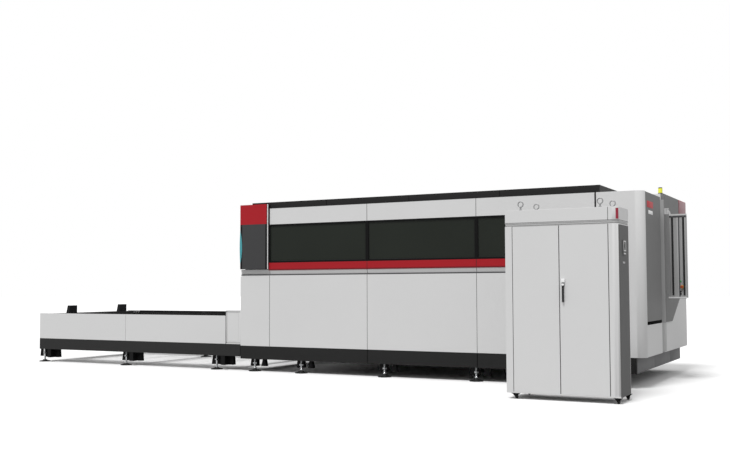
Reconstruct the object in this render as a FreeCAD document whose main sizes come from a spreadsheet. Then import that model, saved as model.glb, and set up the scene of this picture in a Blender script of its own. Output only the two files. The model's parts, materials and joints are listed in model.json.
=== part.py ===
import FreeCAD, Part
import math
import os
import Sketcher

doc = FreeCAD.newDocument("fiber_laser_cutting_machine")
sheet = doc.addObject("Spreadsheet::Sheet", "Sizes")

# Driving dimensions in millimetres.
# X runs along the machine from the left end of the exchange table, Y runs away from the
# near wall, Z is up from the floor. origin_x and origin_y move the whole machine so that
# its origin is at the middle of the floor area it covers.
SIZES = [
    ("origin_x", 4736, "X of the origin, counted from the left end of the table"),
    ("origin_y", 581.35, "Y of the origin, counted from the near wall"),
    # exchange table
    ("table_length", 3550, "exchange table, left end to transition box"),
    ("table_width", 2000, "exchange table, near face to far face"),
    ("table_seam", 1745, "seam between the two side panels"),
    ("beam_bottom", 194, "underside of the table's base beam"),
    ("beam_top", 358, "top of the table's base beam"),
    ("beam_width", 160, "width of the table's base beam"),
    ("table_top", 745, "top of the table's side panels"),
    ("upright_width", 60, "width of an upright along the table"),
    ("stop_width", 147, "width of an end stop"),
    ("stop_top", 858, "top of an end stop"),
    ("transition_reach", 250, "right end of the transition box, from the table's end"),
    ("transition_top", 820, "top of the transition box"),
    # pallets
    ("rail_inner", 160, "inner face of the beams that carry the pallet rails"),
    ("rail_thick", 20, "thickness of a pallet rail"),
    ("upper_rail_top", 600, "top of the upper pallet rails"),
    ("lower_rail_top", 400, "top of the lower pallet rails"),
    ("upper_rail_reach", 40, "how far an upper rail stands inwards"),
    ("lower_rail_reach", 75, "how far a lower rail stands inwards"),
    ("pallet_length", 3200, "length of a pallet"),
    ("pallet_start", 280, "left end of the outer pallet"),
    ("inner_start", 645, "left end of the inner pallet, from the enclosure's left end"),
    ("upper_side", 165, "near side of the upper pallet"),
    ("lower_side", 212, "near side of the lower pallet"),
    ("pallet_tube", 60, "width of a pallet's side tube"),
    ("pallet_tube_height", 80, "height of a pallet's side tube"),
    ("slat_height", 100, "height of a slat"),
    ("slat_thick", 4, "thickness of a slat"),
    ("slat_lift", 35, "slat underside above the pallet's underside"),
    ("slat_pitch", 172, "spacing of the slats"),
    ("slat_start", 130, "first slat, from the pallet's left end"),
    ("tooth_depth", 24, "depth of a slat's teeth"),
    # enclosure; a start counts from the enclosure's left end
    ("wall_start", 255, "left end of the enclosure, from the table's end"),
    ("cabin_start", 4890, "left end of the operator cabin"),
    ("cabin_width", 540, "operator cabin, left end to right end"),
    ("depth", 2600, "near face to far face of the enclosure"),
    ("plinth_bottom", 165, "underside of the enclosure's plinth"),
    ("plinth_height", 176, "height of the enclosure's plinth"),
    ("plinth_width", 160, "width of the plinth's long beams"),
    ("cross_start", 1600, "first cross beam under the machine bed"),
    ("cross_pitch", 1600, "spacing of the cross beams under the machine bed"),
    ("cross_width", 120, "width of a cross beam"),
    ("lower_height", 952, "height of the lower panels"),
    ("groove_height", 81, "height of the slanted band with its groove"),
    ("groove_slot", 16, "height of the groove under the slanted band"),
    ("groove_slant", 14, "how far the slanted band leans in"),
    ("groove_inset", 30, "depth of the groove under the slanted band"),
    ("red_height", 89, "height of the red stripe"),
    ("window_height", 516, "height of the window band"),
    ("header_height", 221, "height of the panels over the windows"),
    ("roof_height", 90, "height of the roof"),
    ("roof_inset", 100, "how far the roof is set back"),
    ("roof_start", 120, "left end of the roof"),
    ("roof_seam_start", 1305, "first seam of the roof"),
    ("roof_pitch", 1205, "spacing of the roof's seams"),
    ("band_start", 457, "left end of the red stripe and windows"),
    ("seam_start", 475, "first seam of the lower panels"),
    ("seam_pitch", 1488, "spacing of the panel seams"),
    ("panel_depth", 33, "depth of a folded sheet panel"),
    ("sheet_thick", 3, "thickness of the sheet metal"),
    ("seam_gap", 4, "gap between two panels"),
    ("panel_corner", 20, "corner chamfer of the first lower panel"),
    ("post_depth", 35, "depth of an enclosure post"),
    ("post_width", 60, "width of an enclosure post"),
    ("top_rail_height", 60, "height of the enclosure's top rails"),
    ("top_rail_reach", 120, "inner face of the top rails, from the wall's face"),
    ("frame_bar", 22, "width of a window frame bar"),
    ("frame_post", 44, "width of a window frame's upright at a seam"),
    ("glass_thick", 6, "thickness of the window glass"),
    # portal at the left end
    ("portal_start", 23, "left face of the portal"),
    ("portal_width", 432, "portal, left face to right face"),
    ("portal_stand", 45, "how far the portal stands proud of the walls"),
    ("portal_lift", 6, "underside of the portal's side panel, from the groove band's top"),
    ("cap_lift", 7, "underside of the portal's red cap, from the window band's top"),
    ("portal_rise", 55, "top of the portal, from the top of the walls"),
    ("entry_near", 85, "near side of the pallet entry"),
    ("entry_far", 1915, "far side of the pallet entry"),
    ("entry_panel_bottom", 1400, "underside of the panel over the entry"),
    ("bow_lift", 70, "bottom of the bowed window, from the portal panel's underside"),
    ("bow_height", 460, "height of the bowed window"),
    ("bow_depth", 30, "how far the bowed window goes into the portal"),
    ("bow_bulge", 10, "how far the bowed window bulges out"),
    ("lift_bottom", 770, "underside of the entry door when closed"),
    ("lift_height", 670, "height of the entry door"),
    ("lift_travel", 500, "travel of the entry door"),
    # machine bed and gantry
    ("bed_start", 495, "left end of the machine bed"),
    ("bed_length", 4100, "length of the machine bed"),
    ("bed_side", 75, "outer face of the bed's near beam"),
    ("bed_height", 639, "height of the machine bed on the plinth"),
    ("guide_width", 34, "width of a linear guide rail"),
    ("guide_height", 30, "height of a linear guide rail"),
    ("gantry_start", 4035, "left face of the gantry beam when parked"),
    ("gantry_width", 220, "width of the gantry beam"),
    ("gantry_height", 260, "height of the gantry beam"),
    ("shoe_height", 49.7, "height of a guide shoe"),
    ("carriage_width", 260, "width of the cross carriage"),
    ("carriage_near", 240, "near side of the cross carriage when parked"),
    ("carriage_height", 380, "height of the cross carriage"),
    ("nozzle_drop", 75, "nozzle's tip below the gantry beam when raised"),
    # operator cabin
    ("cabin_drop", 5, "top of the cabin's near section below the top of the walls"),
    ("tower_rise", 55, "top of the cabin's taller section above the near section"),
    ("tower_near", 1105, "near side of the taller section"),
    ("corner_radius", 95, "radius of the cabin's vertical corner"),
    ("door_near", 105, "near edge of the cabin door"),
    ("door_width", 850, "width of the cabin door"),
    ("door_lift", 36, "underside of the cabin door above the slot's bottom"),
    ("door_thick", 45, "thickness of the cabin door"),
    ("door_edge_radius", 38, "radius of the cabin door's free edge"),
    ("slot_bottom", 700, "bottom of the slot under the cabin door"),
    ("slant_start", 1530, "Y where the dark panel's lower edge turns up"),
    ("slant_rise", 0.52, "rise of the slanted edge per unit of Y"),
    ("tower_gap", 2100, "Y of the vertical gap in the taller section"),
    ("red_block_height", 180, "height of the taller section's red block"),
    ("beacon_radius", 29, "radius of the beacon"),
    ("beacon_height", 62, "height of the beacon's lens"),
    # swing-arm console
    ("pivot_out", 40, "console's pivot, from the cabin's right face"),
    ("pivot_back", 45, "console's pivot, from the taller section's near side"),
    ("console_out", 21, "left edge of the console, from its pivot"),
    ("console_width", 198, "width of the console"),
    ("console_height", 978, "height of the console"),
    ("console_drop", 272, "top of the console below the taller section's top"),
    ("console_thick", 56, "thickness of the console"),
    ("tray_reach", 105, "how far the keyboard tray stands out"),
    # wheeled cabinet
    ("cab_start", 4345, "left side of the wheeled cabinet, from the enclosure's left end"),
    ("cab_width", 1150, "width of the wheeled cabinet"),
    ("cab_depth", 430, "depth of the wheeled cabinet"),
    ("cab_back", -1030, "back face of the wheeled cabinet"),
    ("cab_bottom", 60, "underside of the wheeled cabinet"),
    ("cab_height", 1845, "height of the wheeled cabinet"),
    ("hood_height", 135, "height of the cabinet's hood"),
    ("hood_gap", 30, "recess between the cabinet's hood and its doors"),
    ("sill_height", 12, "underside of the cabinet's doors above its own underside"),
    ("cab_strip", 72, "width of the strip left of the cabinet's doors"),
    ("cab_strip_right", 100, "width of the strip right of the cabinet's doors"),
    ("cab_corner", 60, "radius of the cabinet's front right corner"),
    ("cab_wall", 20, "thickness of the cabinet's walls"),
    ("cab_gap", 3, "gap beside a cabinet door"),
    ("hinge_in", 18, "cabinet door's hinge rod, from the door's edge"),
    ("hinge_back", 6.5, "cabinet door's hinge rod, behind the door's face"),
    ("hinge_radius", 3, "radius of a cabinet door's hinge rod"),
    ("drive_bottom", 1050, "underside of the drive units"),
    ("drive_height", 330, "height of the drive units"),
    ("drive_depth", 170, "depth of the drive units"),
    ("controller_bottom", 1380, "underside of the box on the cabinet's side"),
    ("controller_height", 140, "height of the box on the cabinet's side"),
    ("wheel_radius", 22, "radius of a caster wheel"),
    ("wheel_width", 20, "width of a caster wheel"),
    ("caster_trail", 18, "caster wheel's axle behind its swivel"),
    ("axle_radius", 4, "radius of a caster's axle"),
    ("eye_near_left", 156, "near left lifting eye, from the cabinet's left side"),
    ("eye_near_right", 181, "near right lifting eye, from the cabinet's right side"),
    ("eye_far_left", 206, "far left lifting eye, from the cabinet's left side"),
    ("eye_far_right", 146, "far right lifting eye, from the cabinet's right side"),
    ("eye_stem", 30, "height of a lifting eye's stem"),
    ("eye_radius", 27, "centre-line radius of a lifting eye"),
    ("eye_wire", 6, "radius of a lifting eye's wire"),
    # levelling feet
    ("pad_radius", 84, "radius of a levelling foot's pad"),
    ("pad_height", 30, "height of a levelling foot's pad"),
    ("pad_rim", 10, "height of the pad's rim"),
    ("stud_radius", 14, "radius of a levelling foot's stud"),
    ("foot_inset", 58, "levelling foot, in from the side"),
    ("table_foot", 60, "first levelling foot of the table"),
    ("wall_foot_1", 201, "levelling foot under the enclosure"),
    ("wall_foot_2", 943, "levelling foot under the enclosure"),
    ("wall_foot_3", 2178, "levelling foot under the enclosure"),
    ("wall_foot_4", 3414, "levelling foot under the enclosure"),
    ("wall_foot_5", 4650, "levelling foot under the enclosure"),
    ("bracket_bottom", 66, "underside of a foot bracket"),
    ("plate_back", 92, "foot bracket's wide plate, in from the side"),
    ("post_near", 4, "foot bracket's post, in from the side"),
]

for row, (word, number, note) in enumerate(SIZES, 1):
    sheet.set(f"A{row}", word)
    sheet.set(f"B{row}", str(number))
    sheet.set(f"C{row}", note)
    sheet.setAlias(f"B{row}", word)
doc.recompute()


class Size:
    """A length that carries its number and the expression that gives it."""

    def __init__(self, text, number):
        self.text = text
        self.number = float(number)

    def __add__(self, other):
        other = size(other)
        return Size(f"({self.text} + {other.text})", self.number + other.number)

    def __radd__(self, other):
        return size(other) + self

    def __sub__(self, other):
        other = size(other)
        return Size(f"({self.text} - {other.text})", self.number - other.number)

    def __rsub__(self, other):
        return size(other) - self

    def __mul__(self, other):
        other = size(other)
        return Size(f"({self.text} * {other.text})", self.number * other.number)

    def __rmul__(self, other):
        return size(other) * self

    def __truediv__(self, other):
        other = size(other)
        return Size(f"({self.text} / {other.text})", self.number / other.number)

    def __neg__(self):
        return Size(f"(0 - {self.text})", -self.number)


def size(value):
    if isinstance(value, Size):
        return value
    if value < 0:
        return Size(f"(0 - {-value})", value)
    return Size(str(value), value)


class Sheet:
    pass


S = Sheet()
for word, number, note in SIZES:
    setattr(S, word, Size("Sizes." + word, number))

# Places that follow from those sizes, along the machine and then upwards.
S.transition_end = S.table_length + S.transition_reach
S.wall_left = S.table_length + S.wall_start
S.cabin_left = S.wall_left + S.cabin_start
S.cabin_right = S.cabin_left + S.cabin_width
S.roof_left = S.wall_left + S.roof_start
S.roof_seam = S.wall_left + S.roof_seam_start
S.band_left = S.wall_left + S.band_start
S.first_seam = S.wall_left + S.seam_start
S.portal_left = S.wall_left + S.portal_start
S.portal_right = S.portal_left + S.portal_width
S.bed_left = S.wall_left + S.bed_start
S.bed_right = S.bed_left + S.bed_length
S.gantry_park = S.wall_left + S.gantry_start
S.pivot_x = S.cabin_right + S.pivot_out
S.pivot_y = S.tower_near + S.pivot_back
S.console_left = S.pivot_x + S.console_out
S.cab_left = S.wall_left + S.cab_start
S.cab_right = S.cab_left + S.cab_width
S.cab_front = S.cab_back - S.cab_depth
S.plinth_top = S.plinth_bottom + S.plinth_height
S.lower_top = S.plinth_top + S.lower_height
S.groove_top = S.lower_top + S.groove_height
S.red_top = S.groove_top + S.red_height
S.window_top = S.red_top + S.window_height
S.wall_top = S.window_top + S.header_height
S.roof_top = S.wall_top + S.roof_height
S.portal_bottom = S.groove_top + S.portal_lift
S.portal_split = S.window_top + S.cap_lift
S.portal_top = S.wall_top + S.portal_rise
S.bow_bottom = S.portal_bottom + S.bow_lift
S.lift_top = S.lift_bottom + S.lift_height
S.bed_top = S.plinth_top + S.bed_height
S.gantry_bottom = S.bed_top + S.guide_height + 0.3 + S.shoe_height
S.nozzle_tip = S.gantry_bottom - S.nozzle_drop
S.cabin_top = S.wall_top - S.cabin_drop
S.tower_top = S.cabin_top + S.tower_rise
S.tower_red = S.tower_top - S.red_block_height
S.door_bottom = S.slot_bottom + S.door_lift
S.console_top = S.tower_top - S.console_drop
S.console_bottom = S.console_top - S.console_height
S.cab_top = S.cab_bottom + S.cab_height
S.hood_bottom = S.cab_top - S.hood_height
S.cab_door_top = S.hood_bottom - S.hood_gap
S.cab_door_bottom = S.cab_bottom + S.sill_height

NODES = []


def bind(thing, path, value):
    """Tie one property of an object to the sheet."""
    thing.setExpression(path, size(value).text)


def place(thing, x, y, z, turn=None):
    """Put an object at a point of the machine's own frame."""
    x, y, z = size(x), size(y), size(z)
    turn = turn or FreeCAD.Rotation()
    thing.Placement = FreeCAD.Placement(FreeCAD.Vector(x.number, y.number, z.number), turn)
    bind(thing, "Placement.Base.x", x)
    bind(thing, "Placement.Base.y", y)
    bind(thing, "Placement.Base.z", z)
    return thing


def node(name, thing, x=0, y=0, z=0, turn=None):
    """Name a finished sub-part and put it in the frame shared by all of them."""
    thing.Label = name
    place(thing, size(x) - S.origin_x, size(y) - S.origin_y, z, turn)
    NODES.append(thing)
    return thing


def block(x0, x1, y0, y1, z0, z1):
    """A straight bar or plate between two corners."""
    thing = doc.addObject("Part::Box", "block")
    for path, low, high in (("Length", x0, x1), ("Width", y0, y1), ("Height", z0, z1)):
        bind(thing, path, size(high) - low)
        setattr(thing, path, (size(high) - low).number)
    return place(thing, x0, y0, z0)


def cylinder(x, y, z, radius, height, turn=None):
    thing = doc.addObject("Part::Cylinder", "cylinder")
    thing.Radius = size(radius).number
    thing.Height = size(height).number
    bind(thing, "Radius", radius)
    bind(thing, "Height", height)
    return place(thing, x, y, z, turn)


def prism(sides, x, y, z, radius, height, turn=None):
    """A straight many-sided bar; it stands for a small round one that is repeated."""
    thing = doc.addObject("Part::Prism", "prism")
    thing.Polygon = sides
    thing.Circumradius = size(radius).number
    thing.Height = size(height).number
    bind(thing, "Circumradius", radius)
    bind(thing, "Height", height)
    return place(thing, x, y, z, turn)


def cut(base, tool):
    thing = doc.addObject("Part::Cut", "cut")
    thing.Base = base
    thing.Tool = tool
    return thing


def fuse(*pieces):
    thing = doc.addObject("Part::MultiFuse", "fuse")
    thing.Shapes = list(pieces)
    thing.Refine = True
    return thing


def group(*pieces):
    """Several separate pieces, welded or repeated, that make one sub-part."""
    thing = doc.addObject("Part::Compound", "group")
    thing.Links = list(pieces)
    return thing


def tube(x0, x1, y0, y1, z0, z1, along, wall=6):
    """A rectangular hollow section whose length runs along X, Y or Z."""
    outer = block(x0, x1, y0, y1, z0, z1)
    x0, x1, y0, y1, z0, z1 = [size(v) for v in (x0, x1, y0, y1, z0, z1)]
    if along == "X":
        inner = block(x0 - 1, x1 + 1, y0 + wall, y1 - wall, z0 + wall, z1 - wall)
    elif along == "Y":
        inner = block(x0 + wall, x1 - wall, y0 - 1, y1 + 1, z0 + wall, z1 - wall)
    else:
        inner = block(x0 + wall, x1 - wall, y0 + wall, y1 - wall, z0 - 1, z1 + 1)
    return cut(outer, inner)


ROLES = {"XY": "XY_Plane", "XZ": "XZ_Plane", "YZ": "YZ_Plane"}


def body(name):
    return doc.addObject("PartDesign::Body", name)


def sketch(owner, plane, name):
    thing = owner.newObject("Sketcher::SketchObject", name)
    for feature in owner.Origin.OriginFeatures:
        if feature.Role == ROLES[plane]:
            thing.AttachmentSupport = [(feature, "")]
    thing.MapMode = "FlatFace"
    return thing


def fix(drawing, kind, index, point, value):
    """Hold one coordinate of a sketch point at a distance from the sketch's origin."""
    value = size(value)
    number = drawing.addConstraint(Sketcher.Constraint(kind, -1, 1, index, point, value.number))
    drawing.setExpression(f"Constraints[{number}]", value.text)


def outline(drawing, points):
    """A closed outline of straight lines through the given points."""
    points = [(size(a), size(b)) for a, b in points]
    first = drawing.GeometryCount
    count = len(points)
    for i in range(count):
        a, b = points[i], points[(i + 1) % count]
        start = FreeCAD.Vector(a[0].number, a[1].number, 0)
        end = FreeCAD.Vector(b[0].number, b[1].number, 0)
        drawing.addGeometry(Part.LineSegment(start, end), False)
    for i in range(count):
        after = first + (i + 1) % count
        drawing.addConstraint(Sketcher.Constraint("Coincident", first + i, 2, after, 1))
    for i, (a, b) in enumerate(points):
        fix(drawing, "DistanceX", first + i, 1, a)
        fix(drawing, "DistanceY", first + i, 1, b)


def circle(drawing, a, b, radius):
    a, b, radius = size(a), size(b), size(radius)
    middle = FreeCAD.Vector(a.number, b.number, 0)
    index = drawing.addGeometry(Part.Circle(middle, FreeCAD.Vector(0, 0, 1), radius.number), False)
    fix(drawing, "DistanceX", index, 3, a)
    fix(drawing, "DistanceY", index, 3, b)
    number = drawing.addConstraint(Sketcher.Constraint("Radius", index, radius.number))
    drawing.setExpression(f"Constraints[{number}]", radius.text)


def pad(owner, drawing, length, reverse=False, name="Pad"):
    thing = owner.newObject("PartDesign::Pad", name)
    thing.Profile = drawing
    thing.Length = size(length).number
    bind(thing, "Length", length)
    thing.Reversed = reverse
    drawing.Visibility = False
    return thing


def pocket(owner, drawing, length, reverse=False, name="Pocket"):
    thing = owner.newObject("PartDesign::Pocket", name)
    thing.Profile = drawing
    thing.Length = size(length).number
    bind(thing, "Length", length)
    thing.Reversed = reverse
    drawing.Visibility = False
    return thing


def revolve(owner, drawing, name="Revolution"):
    """Turn a profile drawn on the XZ plane about the body's own Z axis."""
    thing = owner.newObject("PartDesign::Revolution", name)
    thing.Profile = drawing
    thing.ReferenceAxis = (drawing, ["V_Axis"])
    thing.Angle = 360
    drawing.Visibility = False
    return thing


def extrusion(name, plane, points, length, reverse=False):
    """A body made by padding one outline."""
    owner = body(name)
    drawing = sketch(owner, plane, name + "_outline")
    outline(drawing, points)
    pad(owner, drawing, length, reverse, name + "_pad")
    return owner


def turned(name, points):
    """A body made by turning one outline about its Z axis."""
    owner = body(name)
    drawing = sketch(owner, "XZ", name + "_outline")
    outline(drawing, points)
    revolve(owner, drawing, name + "_turn")
    return owner


def many_sided(name, sides, radius, height):
    """A many-sided body about its Z axis, for a small round form whose end is beveled."""
    turns = [2 * math.pi * i / sides for i in range(sides)]
    points = [(size(radius) * math.cos(turn), size(radius) * math.sin(turn)) for turn in turns]
    return extrusion(name, "XY", points, height)


def bevel(owner, rise, inset, level, name):
    """Bevel the edges of a body's last feature that lie at one level."""
    doc.recompute()
    base = owner.Tip
    level = size(level).number
    names = []
    for i, edge in enumerate(base.Shape.Edges, 1):
        if all(abs(v.Point.z - level) < 0.01 for v in edge.Vertexes):
            names.append(f"Edge{i}")
    thing = owner.newObject("PartDesign::Chamfer", name)
    thing.Base = (base, names)
    thing.ChamferType = "Two distances"
    thing.Size = size(rise).number
    thing.Size2 = size(inset).number
    bind(thing, "Size", rise)
    bind(thing, "Size2", inset)
    return owner


def round_edges(owner, radius, chosen, name="Fillet"):
    """Round the edges of a body's last feature that the test picks out."""
    doc.recompute()
    base = owner.Tip
    names = []
    for i, edge in enumerate(base.Shape.Edges, 1):
        if chosen(edge):
            names.append(f"Edge{i}")
    thing = owner.newObject("PartDesign::Fillet", name)
    thing.Base = (base, names)
    thing.Radius = size(radius).number
    bind(thing, "Radius", radius)
    return thing


def upright_at(x, y):
    """Picks the vertical edges that stand at one point of the plan."""
    x, y = size(x).number, size(y).number

    def chosen(edge):
        ends = [v.Point for v in edge.Vertexes]
        if len(ends) != 2 or abs(ends[0].z - ends[1].z) < 5:
            return False
        return all(abs(p.x - x) < 0.5 and abs(p.y - y) < 0.5 for p in ends)

    return chosen


def tray(x0, x1, y0, y1, z0, z1, back):
    """A folded sheet panel, open on the side that the wall's posts carry."""
    outer = block(x0, x1, y0, y1, z0, z1)
    x0, x1, y0, y1, z0, z1 = [size(v) for v in (x0, x1, y0, y1, z0, z1)]
    t = S.sheet_thick
    low = [x0 + t, y0 + t, z0 + t]
    high = [x1 - t, y1 - t, z1 - t]
    axis = "XYZ".index(back[0])
    if back[1] == "+":
        high[axis] = (x1, y1, z1)[axis] + 1
    else:
        low[axis] = (x0, y0, z0)[axis] - 1
    return cut(outer, block(low[0], high[0], low[1], high[1], low[2], high[2]))


D = S.depth
W = S.table_width
seams = [S.first_seam + S.seam_pitch * i for i in range(3)] + [S.cabin_left - 5]
half_gap = S.seam_gap / 2

# ---------------------------------------------------------------- levelling feet
table_feet = [(x, y) for x in (S.table_foot, S.table_seam - 29, S.table_length - 185)
              for y in (S.foot_inset, W - S.foot_inset)]
wall_feet = [(S.wall_left + x, y)
             for x in (S.wall_foot_1, S.wall_foot_2, S.wall_foot_3, S.wall_foot_4, S.wall_foot_5)
             for y in (S.foot_inset, D - S.foot_inset)]
all_feet = table_feet + wall_feet

foot_pads = []
foot_studs = []
for x, y in all_feet:
    under = S.beam_bottom if (x, y) in table_feet else S.plinth_bottom
    foot_pads.append(fuse(prism(8, x, y, 0, S.pad_radius, S.pad_height / 3),
                          prism(6, x, y, 0, S.pad_radius * 0.4, S.pad_height)))
    foot_studs.append(prism(6, x, y, S.pad_height, S.stud_radius, under - S.pad_height))
node("foot_pads", group(*foot_pads))
node("foot_studs", group(*foot_studs))

# Under the table a foot bracket is a wide plate with a post in front of it. Under the
# enclosure it is two tapered gussets that hang from one flange.
brackets = []
for i, (x, y) in enumerate(all_feet):
    at_table = (x, y) in table_feet
    top = S.beam_bottom if at_table else S.plinth_bottom
    drop = top - S.bracket_bottom
    if at_table:
        left = -56 if x is S.table_foot else -116
        lean = 0 if x is S.table_foot else 22
        points = [(left + lean, drop), (left, 0), (256, 0), (246, drop)]
    else:
        points = [(-84, drop), (-98, 0), (14, 0), (14, drop - 10), (100, drop - 10), (78, 0),
                  (156, 0), (134, drop)]
    plate = extrusion(f"bracket_{i}", "XZ", points, 60)
    near = y is S.foot_inset
    edge = y + S.foot_inset
    bracket = place(plate, x, S.plate_back + 60 if near else edge - S.plate_back, S.bracket_bottom)
    if at_table:
        y0, y1 = (S.post_near, S.plate_back) if near else (edge - S.plate_back, edge - S.post_near)
        bracket = fuse(bracket, block(x + 106, x + 174, y0, y1, S.bracket_bottom, top))
    brackets.append(bracket)
node("foot_brackets", group(*brackets))

# ---------------------------------------------------------------- exchange table
frame = []
for y0 in (size(0), W - S.beam_width):
    frame.append(tube(0, S.transition_end, y0, y0 + S.beam_width, S.beam_bottom, S.beam_top, "X", 8))
for x0 in (size(0), S.table_seam - 40, S.table_length - 80):
    frame.append(tube(x0, x0 + 80, S.beam_width, W - S.beam_width,
                      S.beam_bottom + 20, S.beam_top - 20, "Y"))
for x0 in (size(40), S.table_seam - 30, S.table_length - 90):
    for y0 in (S.panel_depth, W - S.rail_inner):
        frame.append(tube(x0, x0 + S.upright_width, y0, y0 + (S.rail_inner - S.panel_depth),
                          S.beam_top, S.table_top - 8, "Z"))
frame.append(tube(40, 250, S.rail_inner, W - S.rail_inner, S.table_top - 68, S.table_top - 8, "Y"))
node("table_frame", group(*frame))

panels = []
for y0, side in ((size(0), "Y+"), (W - S.panel_depth, "Y-")):
    y1 = y0 + S.panel_depth
    panels.append(tray(0, S.table_seam - half_gap, y0, y1, S.beam_top, S.table_top, side))
    panels.append(tray(S.table_seam + half_gap, S.table_length, y0, y1,
                       S.beam_top, S.table_top, side))
panels.append(tray(20, 40, S.panel_depth, W - S.panel_depth, S.beam_top, S.table_top - 8, "X+"))
node("table_panels", group(*panels))

# The transition box between table and machine, with a rectangular groove pressed in its face.
boxes = []
for y0, side in ((size(0), -1), (W - 60, 1)):
    box_body = block(S.table_length + 10, S.transition_end, y0, y0 + 60, S.beam_top, S.transition_top)
    face = y0 if side < 0 else y0 + 60
    low = face - 3 if side < 0 else face - 3
    groove_outer = block(S.table_length + 38, S.transition_end - 28, low, low + 6,
                         S.beam_top + 28, S.transition_top - 28)
    groove_inner = block(S.table_length + 44, S.transition_end - 34, low - 1, low + 7,
                         S.beam_top + 34, S.transition_top - 34)
    boxes.append(cut(box_body, cut(groove_outer, groove_inner)))
node("transition_boxes", group(*boxes))

# Rails for the two pallet levels run on from the table into the machine.
rails = []
for top, reach in ((S.upper_rail_top, S.upper_rail_reach), (S.lower_rail_top, S.lower_rail_reach)):
    for start, end in ((S.pallet_start - 20, S.table_length + 10), (S.bed_left, S.bed_right - 300)):
        bottom = top - S.rail_thick
        rails.append(block(start, end, S.rail_inner, S.rail_inner + reach, bottom, top))
        rails.append(block(start, end, W - S.rail_inner - reach, W - S.rail_inner, bottom, top))

# Bridge rails carry the pallets through the transition.
bridges = []
for top, reach in ((S.upper_rail_top, S.upper_rail_reach), (S.lower_rail_top, S.lower_rail_reach)):
    for near in (True, False):
        y0 = S.rail_inner - 50 if near else W - S.rail_inner - reach
        y1 = S.rail_inner + reach if near else W - S.rail_inner + 50
        bridges.append(block(S.table_length + 10, S.bed_left, y0, y1, top - S.rail_thick, top))
for near in (True, False):
    y0 = size(60) if near else W - S.rail_inner + 50
    y1 = S.rail_inner - 50 if near else W - 60
    bridges.append(block(S.table_length + 10, S.transition_end - 10, y0, y1,
                         S.beam_top, S.upper_rail_top))
node("pallet_rails", group(*rails, *bridges))

stops = []
for y in (S.table_width / 2 - 587, S.table_width / 2 + 547):
    profile = [(-30, 0), (0, S.stop_top - S.table_top + 8), (S.stop_width,
               S.stop_top - S.table_top + 8), (S.stop_width, 0)]
    stop = extrusion("stop", "YZ", profile, 60)
    stops.append(place(stop, 162, y, S.table_top - 8))
node("end_stops", group(*stops))


# ---------------------------------------------------------------- pallets
def pallet(name, side, rail_top, start):
    near = side
    far = W - side
    top = rail_top + S.pallet_tube_height
    length = S.pallet_length
    parts = [
        tube(start, start + length, near, near + S.pallet_tube, rail_top, top, "X", 5),
        tube(start, start + length, far - S.pallet_tube, far, rail_top, top, "X", 5),
    ]
    for x0 in (start, start + length - 60):
        parts.append(tube(x0, x0 + 60, near + S.pallet_tube, far - S.pallet_tube,
                          rail_top, top, "Y", 5))
    for k in (1, 2, 3):
        middle = start + length * k / 4
        parts.append(tube(middle - 25, middle + 25, near + S.pallet_tube, far - S.pallet_tube,
                          rail_top, rail_top + S.slat_lift, "Y", 4))
    node(name + "_frame", group(*parts))
    # Toothed slats stand across the pallet; one profile is repeated along it.
    left = near + S.pallet_tube
    span = far - S.pallet_tube - left
    teeth = 10
    points = [(0, 0), (0, S.slat_height - S.tooth_depth)]
    for i in range(teeth):
        points.append((span * (2 * i + 1) / (2 * teeth), S.slat_height))
        if i < teeth - 1:
            points.append((span * (i + 1) / teeth, S.slat_height - S.tooth_depth))
    points.append((span, S.slat_height - S.tooth_depth))
    points.append((span, 0))
    slat = body(name + "_slats")
    drawing = sketch(slat, "YZ", name + "_slat_outline")
    outline(drawing, points)
    first = pad(slat, drawing, S.slat_thick, False, name + "_slat")
    run = slat.newObject("PartDesign::LinearPattern", name + "_slat_run")
    run.Originals = [first]
    for feature in slat.Origin.OriginFeatures:
        if feature.Role == "X_Axis":
            run.Direction = (feature, [""])
    run.Occurrences = 18
    bind(run, "Length", S.slat_pitch * 17)
    run.Length = (S.slat_pitch * 17).number
    slat.Tip = run
    node(name + "_slats", slat, start + S.slat_start, left, rail_top + S.slat_lift)


pallet("upper_pallet", S.upper_side, S.upper_rail_top, S.pallet_start)
pallet("lower_pallet", S.lower_side, S.lower_rail_top, S.wall_left + S.inner_start)

# ---------------------------------------------------------------- machine bed
beam_end = S.cabin_right - 117
plinth = [
    tube(S.wall_left, beam_end, 0, S.plinth_width, S.plinth_bottom, S.plinth_top, "X", 8),
    tube(S.wall_left, beam_end, D - S.plinth_width, D, S.plinth_bottom, S.plinth_top, "X", 8),
    tube(beam_end - 80, beam_end, S.plinth_width, D - S.plinth_width,
         S.plinth_bottom, S.plinth_top, "Y"),
]
for y0, y1 in ((size(0), size(950)), (size(954), size(1900)), (size(1904), D)):
    plinth.append(block(beam_end, beam_end + 12, y0, y1, S.plinth_bottom, S.plinth_top))
crosses = [S.wall_left + S.cross_start + S.cross_pitch * i for i in range(2)]
for x0 in [S.wall_left + 40, *crosses, S.cabin_left - S.cross_width - 10]:
    plinth.append(tube(x0, x0 + S.cross_width, S.plinth_width, D - S.plinth_width,
                       S.plinth_bottom + 30, S.plinth_top, "Y"))
node("enclosure_plinth", group(*plinth))

bed = []
for y0 in (S.bed_side, W - S.rail_inner):
    y1 = y0 + (S.rail_inner - S.bed_side)
    bed.append(tube(S.bed_left, S.bed_right, y0, y1, S.plinth_top, S.bed_top, "X", 12))
for x0 in crosses:
    bed.append(block(x0, x0 + S.cross_width, S.rail_inner, W - S.rail_inner,
                     S.plinth_top, S.plinth_top + 24))
node("machine_bed", group(*bed))

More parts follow.
